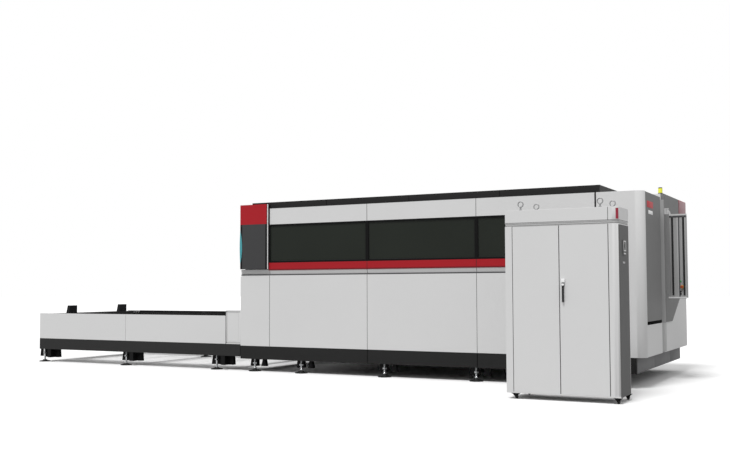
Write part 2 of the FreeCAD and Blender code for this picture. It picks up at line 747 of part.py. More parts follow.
guide_near = (S.bed_side + S.rail_inner - S.guide_width) / 2
guide_far = W - guide_near - S.guide_width
guide_profile = [
    (0, 0), (S.guide_width, 0), (S.guide_width, S.guide_height * 0.4),
    (S.guide_width - 5, S.guide_height * 0.55), (S.guide_width - 5, S.guide_height * 0.7),
    (S.guide_width, S.guide_height * 0.8), (S.guide_width, S.guide_height),
    (0, S.guide_height), (0, S.guide_height * 0.8), (5, S.guide_height * 0.7),
    (5, S.guide_height * 0.55), (0, S.guide_height * 0.4),
]
guides = []
for y0 in (guide_near, guide_far):
    rail = extrusion("guide", "YZ", guide_profile, S.bed_right - S.bed_left - 60)
    guides.append(place(rail, S.bed_left + 30, y0, S.bed_top))
node("guide_rails", group(*guides))

# The gantry beam rides on four shoes; two small rails on its left face carry the carriage.
G = S.gantry_park
beam = [tube(G, G + S.gantry_width, S.bed_side, W - S.bed_side, S.gantry_bottom,
             S.gantry_bottom + S.gantry_height, "Y", 10)]
shoe_bottom = S.bed_top + S.guide_height + 0.3
for y0 in (guide_near - 20, guide_far - 20):
    for x0 in (G - 50, G + S.gantry_width - 70):
        beam.append(block(x0, x0 + 120, y0, y0 + S.guide_width + 40, shoe_bottom, S.gantry_bottom))
for z0 in (S.gantry_bottom + 30, S.gantry_bottom + S.gantry_height - 54):
    beam.append(block(G - 16, G, S.bed_side + 60, W - S.bed_side - 60, z0, z0 + 24))
node("gantry_beam", group(*beam))

# The cross carriage is a plate with two cheeks, open to the left, where the head slides.
C = S.carriage_near
plate_right = G - 16.3
plate_left = G - 60
carriage_top = S.gantry_bottom + 400
plan = [
    (0, 0), (0, S.carriage_width), (-138, S.carriage_width), (-138, S.carriage_width - 16),
    (-44, S.carriage_width - 16), (-44, 16), (-138, 16), (-138, 0),
]
carriage = extrusion("carriage_plan", "XY", plan, S.carriage_height)
node("carriage", carriage, plate_right, C, S.gantry_bottom + 20)

# Cutting head: a slide block, a stepped optical barrel and a cone that carries the nozzle.
head_x = plate_right - 95
head_y = C + S.carriage_width / 2
slide = block(head_x - 42, plate_right - 44.4, C + 70, C + S.carriage_width - 70,
              S.gantry_bottom + 60, S.gantry_bottom + 390)
barrel = bevel(many_sided("barrel", 16, 28, 86), 36, 19, 0, "barrel_cone")
collar_low = S.nozzle_tip + 108
collar = prism(16, head_x, head_y, collar_low, 38, 56)
neck_low = collar_low + 56
neck = prism(16, head_x, head_y, neck_low, 28, S.gantry_bottom + 420 - neck_low)
node("cutting_head", fuse(slide, place(barrel, head_x, head_y, S.nozzle_tip + 24), collar, neck))
cone = bevel(many_sided("nozzle_body", 12, 8.5, 24), 14, 4.5, 0, "nozzle_cone")
node("nozzle", cut(cone, prism(8, 0, 0, -1, 1.2, 26)), head_x, head_y, S.nozzle_tip)

# ---------------------------------------------------------------- enclosure
P = S.panel_depth
post_lefts = [S.wall_left + 65, S.portal_right - 25, seams[1] - 30, seams[2] - 30, S.cabin_left - 60]
rail_bottom = S.wall_top - S.top_rail_height
structure = []
for x0 in post_lefts:
    for y0 in (P, D - P - S.post_depth):
        structure.append(tube(x0, x0 + S.post_width, y0, y0 + S.post_depth, S.plinth_top,
                              rail_bottom, "Z", 4))
for y0 in (P, D - S.top_rail_reach):
    y1 = y0 + (S.top_rail_reach - P)
    structure.append(tube(post_lefts[0], S.cabin_left, y0, y1, rail_bottom, S.wall_top, "X", 4))
for x0 in post_lefts[:1] + post_lefts[2:]:
    structure.append(tube(x0, x0 + S.post_width, S.top_rail_reach, D - S.top_rail_reach,
                          rail_bottom, S.wall_top, "Y", 4))
for y0 in (size(18), D - 36):
    structure.append(block(S.cabin_left, S.cabin_left + 15, y0, y0 + 18, S.plinth_top, S.wall_top - 6))
node("enclosure_frame", group(*structure))


def first_panel(y_back, near):
    """The left lower panel has a chamfered top corner."""
    right = S.first_seam - half_gap - S.wall_left
    top = S.lower_top - S.plinth_top
    c = S.panel_corner
    owner = body("first_panel")
    drawing = sketch(owner, "XZ", "first_panel_outline")
    outline(drawing, [(0, 0), (right, 0), (right, top), (c, top), (0, top - c)])
    pad(owner, drawing, P, not near, "first_panel_pad")
    t = S.sheet_thick
    inner = sketch(owner, "XZ", "first_panel_inner")
    outline(inner, [(t, t), (right - t, t), (right - t, top - t), (c + t, top - t),
                    (t, top - t - c)])
    pocket(owner, inner, P - t, near, "first_panel_pocket")
    return place(owner, S.wall_left, y_back, S.plinth_top)


lower = [first_panel(P, True), first_panel(D - P, False)]
for i in range(3):
    for y0, side in ((size(0), "Y+"), (D - P, "Y-")):
        lower.append(tray(seams[i] + half_gap, seams[i + 1] - half_gap, y0, y0 + P,
                          S.plinth_top, S.lower_top, side))
# The cabin's end panel belongs to the same run; its top edge turns up at the far side.
R = S.cabin_right
end_top = S.slot_bottom - 3
channel_near = S.door_near + S.door_width + 5
lower.append(block(R - 30, R - 10, 100, channel_near, S.plinth_top, end_top))
end_points = [
    (S.tower_near, S.plinth_top), (D, S.plinth_top),
    (D, end_top + (D - S.slant_start) * S.slant_rise), (S.slant_start, end_top),
    (S.tower_near, end_top),
]
lower.append(place(extrusion("end_panel", "YZ", end_points, 20), R - 30, 0, 0))
# A channel runs up between the door's side and the taller section's side.
channel_width = S.tower_near - channel_near
low_channel = [(0, 0), (20, 0), (20, channel_width - 45), (60, channel_width - 2),
               (20, channel_width - 2), (0, channel_width - 24)]
floor_top = S.plinth_top + 8
lower.append(place(extrusion("low_channel", "XY", low_channel, end_top - floor_top),
                   R - 70, channel_near, floor_top))
node("lower_panels", group(*lower))

# Under the red stripe a band slants in to a dark groove over the lower panels.
bands = []
slot_top = S.groove_slot
band_high = S.groove_height
for y0, side, way in ((size(0), "Y+", 1), (D, "Y-", -1)):
    profile = [
        (P * way, 0), (S.groove_inset * way, 0), (S.groove_inset * way, slot_top),
        (S.groove_slant * way, slot_top), (0, band_high), (P * way, band_high),
    ]
    band = extrusion("slanted_band", "YZ", profile if way > 0 else profile[::-1],
                     S.cabin_left - S.wall_left - 8)
    bands.append(place(band, S.wall_left + 8, y0, S.lower_top))
    back = y0 if way > 0 else D - P
    starts = [S.first_seam + half_gap, seams[1] + half_gap, seams[2] + half_gap]
    ends = [seams[1] - half_gap, seams[2] - half_gap, seams[3]]
    for x0, x1 in zip(starts, ends):
        bands.append(tray(x0, x1, back, back + P, S.window_top, S.wall_top, side))
node("wall_bands", group(*bands))

stripes = []
for y0, side in ((size(0), "Y+"), (D - P, "Y-")):
    stripes.append(tray(S.band_left, seams[3], y0, y0 + P, S.groove_top, S.red_top, side))
node("red_stripes", group(*stripes))

frames = []
panes = []
bar = S.frame_bar
for y0 in (size(0), D - P):
    y1 = y0 + P
    frames.append(block(S.band_left, seams[3], y0, y1, S.red_top, S.red_top + bar))
    frames.append(block(S.band_left, seams[3], y0, y1, S.window_top - bar, S.window_top))
    frames.append(block(S.band_left, S.first_seam - half_gap, y0, y1, S.window_top, S.wall_top))
    half = S.frame_post / 2
    uprights = [(S.band_left, S.band_left + half), (seams[1] - half, seams[1] + half),
                (seams[2] - half, seams[2] + half), (seams[3] - half, seams[3])]
    for x0, x1 in uprights:
        frames.append(block(x0, x1, y0, y1, S.red_top + bar, S.window_top - bar))
    middle = y0 + (P - S.glass_thick) / 2
    for left, right in zip(uprights[:-1], uprights[1:]):
        panes.append(block(left[1], right[0], middle, middle + S.glass_thick,
                           S.red_top + bar, S.window_top - bar))
node("window_frames", group(*frames))
node("window_panes", group(*panes))

roof = []
roof_edges = [S.roof_left, S.roof_seam, S.roof_seam + S.roof_pitch, S.roof_seam + S.roof_pitch * 2,
              S.cabin_left + 35]
for x0, x1 in zip(roof_edges[:-1], roof_edges[1:]):
    roof.append(tray(x0 + half_gap, x1 - half_gap, S.roof_inset, D - S.roof_inset,
                     S.wall_top, S.roof_top, "Z-"))
node("roof_panels", group(*roof))


# ---------------------------------------------------------------- portal at the left end
def lens(extra, gap):
    """Two arcs that meet at the bowed window's top and bottom, swept across the portal."""
    half = S.bow_height / 2
    turn = FreeCAD.Rotation(FreeCAD.Vector(1, 0, 0), -90)
    pieces = []
    for sign, depth in ((-1, S.bow_depth), (1, S.bow_bulge)):
        radius = (half * half + depth * depth) / (depth * 2)
        middle = S.portal_left + (radius - depth) * sign
        thing = cylinder(middle, -S.portal_stand - extra, S.bow_bottom + half, radius + gap,
                         D + S.portal_stand * 2 + extra * 2, turn)
        pieces.append(thing)
    common = doc.addObject("Part::MultiCommon", "lens")
    common.Shapes = pieces
    return common


node("bowed_window", lens(0, 0))

sides = []
for y0, side in ((-S.portal_stand, "Y+"), (D - P, "Y-")):
    y1 = y0 + P + S.portal_stand
    hollow = tray(S.portal_left, S.portal_right, y0, y1, S.portal_bottom, S.portal_split, side)
    sides.append(cut(hollow, lens(5, 0.4)))
node("portal_sides", group(*sides))

covers = []
for y0, side in ((-S.portal_stand, "Y+"), (D - P, "Y-")):
    y1 = y0 + P + S.portal_stand
    covers.append(tray(S.portal_left, S.portal_right, y0, y1, S.portal_split, S.portal_top, side))
covers.append(block(S.portal_left, S.portal_left + 6, P, D - P, S.portal_split, S.portal_top))
covers.append(block(S.portal_left + 6, S.roof_left - 4, P, D - P, S.portal_top - 6, S.portal_top))
covers.append(block(R - 30, R + 5, S.tower_gap + 10, D, S.tower_red, S.tower_top))
node("red_covers", group(*covers))

entry_x = S.portal_left + S.bow_depth
entry_back = S.wall_left + 65
entry = [
    block(entry_x, entry_back, P, S.entry_near, S.plinth_top, S.portal_top - 6),
    block(entry_x, entry_back, S.entry_far, D - P, S.plinth_top, S.portal_top - 6),
    block(entry_x, entry_back, S.entry_near, S.entry_far, S.entry_panel_bottom, S.portal_top - 6),
]
# Channels that guide the lifting door's edges.
channel = [(0, 0), (45, 0), (45, 42), (34.5, 42), (34.5, 7), (0, 7)]
guide_base = S.plinth_top + 300
guide_length = S.lift_top + S.lift_travel + 10 - guide_base
entry.append(place(extrusion("channel_near", "XY", channel, guide_length),
                   entry_back, P + S.post_depth, guide_base))
far_channel = [(x, -y) for x, y in channel]
entry.append(place(extrusion("channel_far", "XY", far_channel[::-1], guide_length),
                   entry_back, W - P - S.post_depth, guide_base))
node("entry_wall", group(*entry))

lift = tray(entry_back + 1, entry_back + 34, P + S.post_depth + 7.4, W - P - S.post_depth - 7.4,
            S.lift_bottom, S.lift_top, "X+")
node("lift_door", lift)

# ---------------------------------------------------------------- operator cabin
L = S.cabin_left + 15
shell_plan = [(0, 0), (R - L, 0), (R - L, 100), (R - L - 20, 100), (R - L - 20, 20), (0, 20)]
corner = extrusion("cabin_corner", "XY", shell_plan, S.cabin_top - S.plinth_top)
round_edges(corner, S.corner_radius, upright_at(R - L, 0), "corner_outside")
round_edges(corner, S.corner_radius - 20, upright_at(R - L - 20, 20), "corner_inside")
place(corner, L, 0, S.plinth_top)
shell = [
    corner,
    block(L, R - 55, 20, S.tower_near, S.cabin_top - 20, S.cabin_top),
    block(R - 55, R - 3, 60, 140, S.cabin_top - 4, S.cabin_top),
    block(S.cabin_left + 45, R - 30, S.tower_near, S.tower_near + 20, S.cabin_top - 20, S.tower_top),
    block(S.cabin_left + 45, R - 30, S.tower_near + 20, D - P, S.tower_top - 20, S.tower_top),
    tray(L, R - 30, D - P, D, S.plinth_top, S.cabin_top, "Y-"),
    tray(S.cabin_left + 45, R - 30, D - P, D, S.cabin_top, S.tower_top, "Y-"),
]
pin_x = R - 13
pin_y = S.door_near + 16
shell.append(prism(12, pin_x, pin_y, S.cabin_top - 34, 6, 30))
shell.append(prism(12, pin_x, pin_y, end_top, 6, 70))
node("cabin_shell", group(*shell))

floor_plan = [
    (0, 20), (R - L - S.corner_radius, 20), (R - L - 47, S.corner_radius), (R - L - 47, D - P),
    (0, D - P),
]
skeleton = [
    place(extrusion("cabin_floor", "XY", floor_plan, 8), L, 0, S.plinth_top),
    tube(R - 135, R - 95, 20, 60, S.plinth_top + 8, S.cabin_top - 20, "Z", 4),
    tube(R - 85, R - 30, 100, S.door_near + S.door_width, S.plinth_top + 8, end_top, "Y", 4),
    tube(R - 110, R - 70, S.tower_near - 45, S.tower_near, S.plinth_top + 8, S.cabin_top - 20, "Z", 4),
    tube(R - 95, R - 55, 60, S.door_near + S.door_width, S.cabin_top - 65, S.cabin_top - 20, "Y", 4),
    tube(R - 70, R - 30, S.tower_near, D - P, S.plinth_top + 8, S.plinth_top + 60, "Y", 4),
    tube(R - 70, R - 30, S.tower_near + 20, D - P, S.tower_top - 80, S.tower_top - 20, "Y", 4),
]
for y0, y1 in ((S.tower_near + 20, S.tower_near + 60), (S.tower_gap - 30, S.tower_gap + 30),
               (D - P - 60, D - P)):
    skeleton.append(tube(R - 70, R - 30, y0, y1, S.plinth_top + 60, S.tower_top - 80, "Z", 4))
skeleton.append(tube(S.cabin_left + 45, S.cabin_left + 85, D - P - 60, D - P,
                     S.plinth_top + 8, S.tower_top - 20, "Z", 4))
node("cabin_frame", group(*skeleton))


def slant(y):
    return S.slot_bottom + (y - S.slant_start) * S.slant_rise


main_right = S.tower_gap - 10
far_left = S.tower_gap + 10
main_panel = extrusion("tower_main", "YZ", [
    (S.tower_near + 5, S.slot_bottom), (S.slant_start, S.slot_bottom),
    (main_right, slant(main_right)), (main_right, S.tower_top), (S.tower_near + 5, S.tower_top),
], 35)
far_panel = extrusion("tower_far", "YZ", [
    (far_left, slant(far_left)), (D, slant(D)), (D, S.tower_red - 4), (far_left, S.tower_red - 4),
], 35)
high_channel = [(0, 0), (20, 0), (20, channel_width - 40), (75, channel_width), (35, channel_width),
                (0, channel_width - 30)]
channel = place(extrusion("high_channel", "XY", high_channel, S.cabin_top - 20 - end_top),
                R - 70, channel_near, end_top)
node("tower_panels", group(channel, place(main_panel, R - 30, 0, 0), place(far_panel, R - 30, 0, 0)))

# The cabin door turns on two pins near its hinged edge; its free edge is well rounded.
door_height = S.cabin_top - 5 - S.door_bottom
door = body("door_plan")
plan_sketch = sketch(door, "XY", "door_outline")
outline(plan_sketch, [(0, 0), (S.door_thick, 0), (S.door_thick, S.door_width), (0, S.door_width)])
pad(door, plan_sketch, door_height, False, "door_pad")
round_edges(door, S.door_edge_radius, upright_at(S.door_thick, S.door_width), "door_edge")
hole_sketch = sketch(door, "XY", "door_pin_hole")
circle(hole_sketch, S.door_thick - 13, 16, 6.06)
pocket(door, hole_sketch, 40, True, "door_lower_hole")
upper_hole = sketch(door, "XY", "door_upper_hole_outline")
circle(upper_hole, S.door_thick - 13, 16, 6.06)
upper_hole.AttachmentOffset = FreeCAD.Placement(FreeCAD.Vector(0, 0, door_height.number),
                                                FreeCAD.Rotation())
bind(upper_hole, "AttachmentOffset.Base.z", door_height)
pocket(door, upper_hole, 40, False, "door_upper_hole")
node("cabin_door", door, R - S.door_thick, S.door_near, S.door_bottom)

r = S.beacon_radius
lens_top = S.beacon_height + 6
lens_body = bevel(many_sided("beacon_lens", 16, r - 3, lens_top), 6, 4, lens_top, "beacon_shoulder")
beacon = fuse(prism(16, 0, 0, 0, r, 9), lens_body, prism(8, 0, 0, S.beacon_height, 8, 18))
node("beacon", beacon, R - 40, S.tower_near + 50, S.tower_top)

# ---------------------------------------------------------------- swing-arm console
X, Y = S.pivot_x, S.pivot_y
hub_mid = S.console_top + 57
ear_plan = [(-S.pivot_out + 20, -14), (8, -14), (14, -8), (14, 8), (8, 14), (-S.pivot_out + 20, 14)]
bracket = fuse(
    block(R + 5, R + 27, Y - 25, Y + 25, hub_mid - 36, hub_mid + 36),
    place(extrusion("lower_ear", "XY", ear_plan, 13), X, Y, hub_mid - 36),
    place(extrusion("upper_ear", "XY", ear_plan, 13), X, Y, hub_mid + 23),
    cylinder(X, Y, hub_mid - 36, 6, 72),
)
node("console_bracket", bracket)

arm_right = S.console_left + S.console_width - X
arm_profile = extrusion("arm_profile", "XZ", [
    (0, 14), (12, 12), (26, -4), (36, -38), (arm_right, -38), (arm_right, -57),
    (22, -57), (17, -20), (0, -14),
], 24)
arm = cut(
    fuse(place(arm_profile, X, Y + 12, hub_mid), cylinder(X, Y, hub_mid - 22.6, 12, 45.2)),
    cylinder(X, Y, hub_mid - 40, 6.06, 80),
)
node("console_arm", arm)

front = Y - S.console_thick / 2
console = body("console_plan")
plan_sketch = sketch(console, "XY", "console_outline")
outline(plan_sketch, [(0, 0), (S.console_width, 0), (S.console_width, S.console_thick),
                      (0, S.console_thick)])
height = S.console_top - S.console_bottom
pad(console, plan_sketch, height, False, "console_pad")
for k, (a, b) in enumerate(((0, 0), (S.console_width, 0), (S.console_width, S.console_thick),
                            (0, S.console_thick))):
    round_edges(console, 8, upright_at(a, b), f"console_round_{k}")
slot = sketch(console, "XY", "console_groove_outline")
middle = S.console_width / 2
outline(slot, [(middle - 3, -5), (middle + 3, -5), (middle + 3, 6), (middle - 3, 6)])
pocket(console, slot, height, True, "console_groove")
stem = sketch(console, "XZ", "console_stop_hole")
circle(stem, S.console_width * 0.69, 122, 8.4)
pocket(console, stem, 24, False, "console_stop_bore")
node("console_body", console, S.console_left, front, S.console_bottom)

bars = []
for a in (S.console_left + 27, S.console_left + S.console_width - 43):
    grip = extrusion("grip", "YZ", [
        (0, 0), (-6, 0), (-14, 12), (-14, height - 42), (-6, height - 30), (0, height - 30),
    ], 20)
    bars.append(place(grip, a, front, S.console_bottom + 22))
node("console_bars", group(*bars))

tray_profile = extrusion("tray_profile", "YZ", [
    (S.console_thick, 0), (S.console_thick, -8), (-S.tray_reach + 12, -16), (-S.tray_reach, -10),
    (-S.tray_reach, 4), (-S.tray_reach + 4, 4), (-S.tray_reach + 4, -5), (-8, 0),
], S.console_width + 4)
node("console_tray", tray_profile, S.console_left - 2, front, S.console_bottom)

head = bevel(many_sided("stop_head", 12, 16.5, 18), 8, 5.5, 18, "stop_head_bevel")
button = fuse(prism(8, 0, 0, 0, 8, 23), place(head, 0, 0, 22))
node("e_stop", button, S.console_left + S.console_width * 0.69, front + 14,
     S.console_bottom + 122, FreeCAD.Rotation(FreeCAD.Vector(1, 0, 0), 90))

# ---------------------------------------------------------------- wheeled cabinet
a, b = S.cab_left, S.cab_right
f, k = S.cab_front, S.cab_back
w = S.cab_wall
wall_height = S.cab_door_top - S.cab_bottom
right_plan = [
    (-S.cab_strip_right, 0), (0, 0), (0, k - f), (-w, k - f), (-w, w), (-S.cab_strip_right, w),
]
right_wall = extrusion("cab_right_wall", "XY", right_plan, wall_height)
round_edges(right_wall, S.cab_corner, upright_at(0, 0), "cab_corner_outside")
round_edges(right_wall, S.cab_corner - w, upright_at(-w, w), "cab_corner_inside")
left_plan = [(0, 0), (S.cab_strip, 0), (S.cab_strip, w), (w, w), (w, k - f), (0, k - f)]
left_wall = extrusion("cab_left_wall", "XY", left_plan, wall_height)
casters = [(x, y) for x in (a + 92, b - 32) for y in (f + 24, k - 10)]
door_left = a + S.cab_strip + S.cab_gap
door_right = b - S.cab_strip_right - S.cab_gap
rods = (door_left + S.hinge_in, door_right - S.hinge_in)
sill_top = S.cab_door_bottom - 2
recess_plan = [(14, 14), (b - a - 60, 14), (b - a - 14, 60), (b - a - 14, k - f - 14),
               (14, k - f - 14)]
roof_plan = [(1, 1), (b - a - S.cab_corner, 1), (b - a - 1, S.cab_corner), (b - a - 1, k - f - 1),
             (1, k - f - 1)]
carcass = [
    place(right_wall, b, f, S.cab_bottom),
    place(left_wall, a, f, S.cab_bottom),
    block(a + w, b - w, k - w, k, S.cab_bottom, S.cab_door_top),
    tray(a + w, b - w, f + w, k - w, S.cab_bottom, sill_top, "Z-"),
    block(a + S.cab_strip, b - S.cab_strip_right, f + 2, f + w, S.cab_bottom, sill_top),
    place(extrusion("hood_recess", "XY", recess_plan, S.hood_gap - 3), a, f, S.cab_door_top),
    place(extrusion("roof_plate", "XY", roof_plan, 3), a, f, S.hood_bottom - 3),
]
for x in rods:
    carcass.append(cylinder(x, f + S.hinge_back, sill_top, S.hinge_radius, S.cab_door_top - sill_top))
for x, y in casters:
    carcass.append(fuse(
        block(x - 33, x + 33, y - 28, y + 28, S.cab_bottom - 6, S.cab_bottom),
        cylinder(x, y, S.cab_bottom - 7.7, 14, 7.7),
    ))
node("cabinet_body", group(*carcass))

hood = body("hood_plan")
plan_sketch = sketch(hood, "XY", "hood_outline")
outline(plan_sketch, [(0, 0), (b - a, 0), (b - a, k - f), (0, k - f)])
pad(hood, plan_sketch, S.hood_height, False, "hood_pad")
round_edges(hood, S.cab_corner, upright_at(b - a, 0), "hood_corner")
inner = sketch(hood, "XY", "hood_inner")
outline(inner, [(3, 3), (b - a - 60, 3), (b - a - 3, 60), (b - a - 3, k - f - 3), (3, k - f - 3)])
pocket(hood, inner, S.hood_height - 3, True, "hood_hollow")
node("cabinet_hood", hood, a, f, S.hood_bottom)

# Each door is a folded tray that turns on a rod; the rod passes through its top and bottom.
split = (door_left + door_right) / 2
door_gap = S.cab_gap
for name, x0, x1, rod in (("cabinet_door_left", door_left, split - door_gap, rods[0]),
                          ("cabinet_door_right", split + door_gap, door_right, rods[1])):
    leaf = tray(x0, x1, f, f + w - 0.3, S.cab_door_bottom, S.cab_door_top - 2, "Y+")
    bore = prism(8, rod, f + S.hinge_back, S.cab_door_bottom - 1, S.hinge_radius * 1.2,
                 S.cab_door_top - S.cab_door_bottom)
    node(name, cut(leaf, bore))

handle_x = split + 40
handle_z = S.cab_bottom + 1090
plate = extrusion("handle_plate_outline", "XZ", [
    (-8, -172), (8, -172), (8, -20), (15, -14), (15, 54), (9, 60), (-9, 60), (-15, 54),
    (-15, -14), (-8, -20),
], 8)
shaft_turn = FreeCAD.Rotation(FreeCAD.Vector(1, 0, 0), -90)
plate_bore = prism(12, 0, -9, 0, 7.6, 10, shaft_turn)
node("handle_plate", cut(plate, plate_bore), handle_x, f, handle_z)
lever = extrusion("lever_outline", "XZ", [
    (-9, 12), (-9, -168), (-5, -176), (5, -176), (9, -168), (9, 12), (5, 18), (-5, 18),
], 14)
shaft = cylinder(0, -1, 0, 7, 8.9, shaft_turn)
node("handle_lever", fuse(lever, shaft), handle_x, f - 8.3, handle_z)

side_items = [block(b, b + 2, f + S.cab_corner + 4, k - 18, S.cab_bottom + 14, S.cab_door_top - 8)]
box_z = S.cab_bottom + S.controller_bottom
side_items.append(block(b + 2, b + 14, f + 150, f + 250, box_z, box_z + S.controller_height))
node("cabinet_side_panel", group(*side_items))

eyes = []
eye_places = [(a + S.eye_near_left, f + 40), (b - S.eye_near_right, f + 40),
              (a + S.eye_far_left, k - 32), (b - S.eye_far_right, k - 32)]
ring_z = S.cab_top + S.eye_stem + S.eye_radius + S.eye_wire
for x, y in eye_places:
    back = FreeCAD.Rotation(FreeCAD.Vector(1, 0, 0), -90)
    ring = cut(
        prism(16, x, y - S.eye_wire, ring_z, S.eye_radius + S.eye_wire, S.eye_wire * 2, back),
        prism(12, x, y - S.eye_wire - 1, ring_z, (S.eye_radius - S.eye_wire) * 1.04,
              S.eye_wire * 2 + 2, back),
    )
    stem = prism(8, x, y, S.cab_top, 8, S.eye_stem + 3)
    flange = prism(8, x, y, S.cab_top, 17, 7)
    eyes.append(fuse(ring, stem, flange))
node("lifting_eyes", group(*eyes))

# Inside: a mounting plate with drive units, and the beam source in a housing on the floor.
drive_low = S.cab_bottom + S.drive_bottom
drive_high = drive_low + S.drive_height
inside = [block(a + 60, b - 60, k - w - 4, k - w, S.cab_bottom + 120, S.cab_door_top - 60)]
for i in range(4):
    x0 = a + 120 + 150 * i
    inside.append(block(x0, x0 + 90, k - w - 4 - S.drive_depth, k - w - 4, drive_low, drive_high))
inside.append(block(a + 760, b - 120, k - w - 94, k - w - 4, drive_low, drive_high))
inside.append(block(a + 120, b - 160, k - w - 344, k - w - 24, sill_top, sill_top + 440))
node("cabinet_equipment", group(*inside))

fork_low = S.cab_bottom - 13
for number, (x, y) in enumerate(casters, 1):
    t = S.caster_trail
    axle_z = S.wheel_radius
    cheeks = []
    for x0 in (-14.5, 10.7):
        cheek = extrusion("cheek", "YZ", [
            (-14, fork_low), (-10, fork_low - 14), (t - 7, axle_z - 8), (t + 6, axle_z - 8),
            (t + 9, axle_z), (16, fork_low),
        ], 3.8)
        cheeks.append(place(cheek, x + x0, y, 0))
    crown = prism(12, x, y, fork_low, 20, 5)
    turn = FreeCAD.Rotation(FreeCAD.Vector(0, 1, 0), 90)
    axle = cylinder(x - 10.7, y + t, axle_z, S.axle_radius, 21.4, turn)
    node(f"caster_fork_{number}", group(*cheeks, crown, axle))
    half = S.wheel_width / 2
    wheel = cut(
        prism(24, 0, 0, -half, S.wheel_radius, S.wheel_width),
        prism(12, 0, 0, -half - 1, (S.axle_radius + 0.3) * 1.04, S.wheel_width + 2),
    )
    node(f"caster_wheel_{number}", wheel, x, y + t, axle_z, turn)

# ---------------------------------------------------------------- check and export
doc.recompute()
os.makedirs("parts", exist_ok=True)
for thing in NODES:
    shape = thing.Shape
    broken = "Invalid" in thing.State or "Error" in thing.State
    if broken or shape.isNull() or not shape.isValid():
        raise RuntimeError(f"{thing.Label} did not build")
for thing in doc.Objects:
    if "Invalid" in thing.State or "Error" in thing.State:
        raise RuntimeError(f"{thing.Name} did not build")
for thing in NODES:
    thing.Shape.exportStep(f"parts/{thing.Label}.step")
print(len(NODES), "sub-parts")
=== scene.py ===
"""Fiber laser cutting machine with a shuttle table and a wheeled cabinet.

All measures are metres in the row frame (X along the machine, Y across it, Z up) and degrees.
Turned profiles are (radius, height) points, and outlines are points in the plane they lie in.
"""
import json
import math

import bmesh
import bpy
from mathutils import Matrix, Vector

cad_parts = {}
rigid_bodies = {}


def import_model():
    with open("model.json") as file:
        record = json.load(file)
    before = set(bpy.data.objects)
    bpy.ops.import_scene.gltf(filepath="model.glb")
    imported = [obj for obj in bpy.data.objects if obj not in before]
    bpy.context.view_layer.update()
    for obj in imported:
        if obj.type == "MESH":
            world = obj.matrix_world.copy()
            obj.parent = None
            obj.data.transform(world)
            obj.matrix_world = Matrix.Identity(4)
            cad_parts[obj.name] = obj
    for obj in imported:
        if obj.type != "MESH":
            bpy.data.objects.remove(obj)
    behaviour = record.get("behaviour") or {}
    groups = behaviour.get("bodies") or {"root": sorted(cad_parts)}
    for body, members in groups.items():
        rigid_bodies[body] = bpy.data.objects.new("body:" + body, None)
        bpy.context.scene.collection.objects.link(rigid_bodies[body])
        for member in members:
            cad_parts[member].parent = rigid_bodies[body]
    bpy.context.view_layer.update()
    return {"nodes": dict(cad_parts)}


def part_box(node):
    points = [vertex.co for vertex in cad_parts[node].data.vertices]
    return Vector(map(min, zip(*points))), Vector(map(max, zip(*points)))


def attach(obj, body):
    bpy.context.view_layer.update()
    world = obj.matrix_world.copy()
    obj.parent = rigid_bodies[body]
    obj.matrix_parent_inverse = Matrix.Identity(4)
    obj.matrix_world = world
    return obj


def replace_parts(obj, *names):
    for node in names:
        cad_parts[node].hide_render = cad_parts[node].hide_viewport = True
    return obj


for old in list(bpy.data.objects):
    bpy.data.objects.remove(old, do_unlink=True)

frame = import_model()
nodes = frame["nodes"]


# ------------ colours
def tone(red, green, blue):
    """Linear colour from eight-bit display values, by the sRGB curve."""
    out = []
    for part in (red, green, blue):
        v = part / 255.0
        out.append(v / 12.92 if v <= 0.04045 else ((v + 0.055) / 1.055) ** 2.4)
    return (*out, 1.0)


def scaled(colour, factor):
    """The same colour, darker or lighter."""
    return (*(min(1.0, c * factor) for c in colour[:3]), 1.0)


def fresh(owner, *kinds):
    """Empties the node tree of a material or world and puts nodes of these kinds in it."""
    owner.use_nodes = True
    tree = owner.node_tree
    tree.nodes.clear()
    return tree, [tree.nodes.new("ShaderNode" + kind) for kind in kinds]


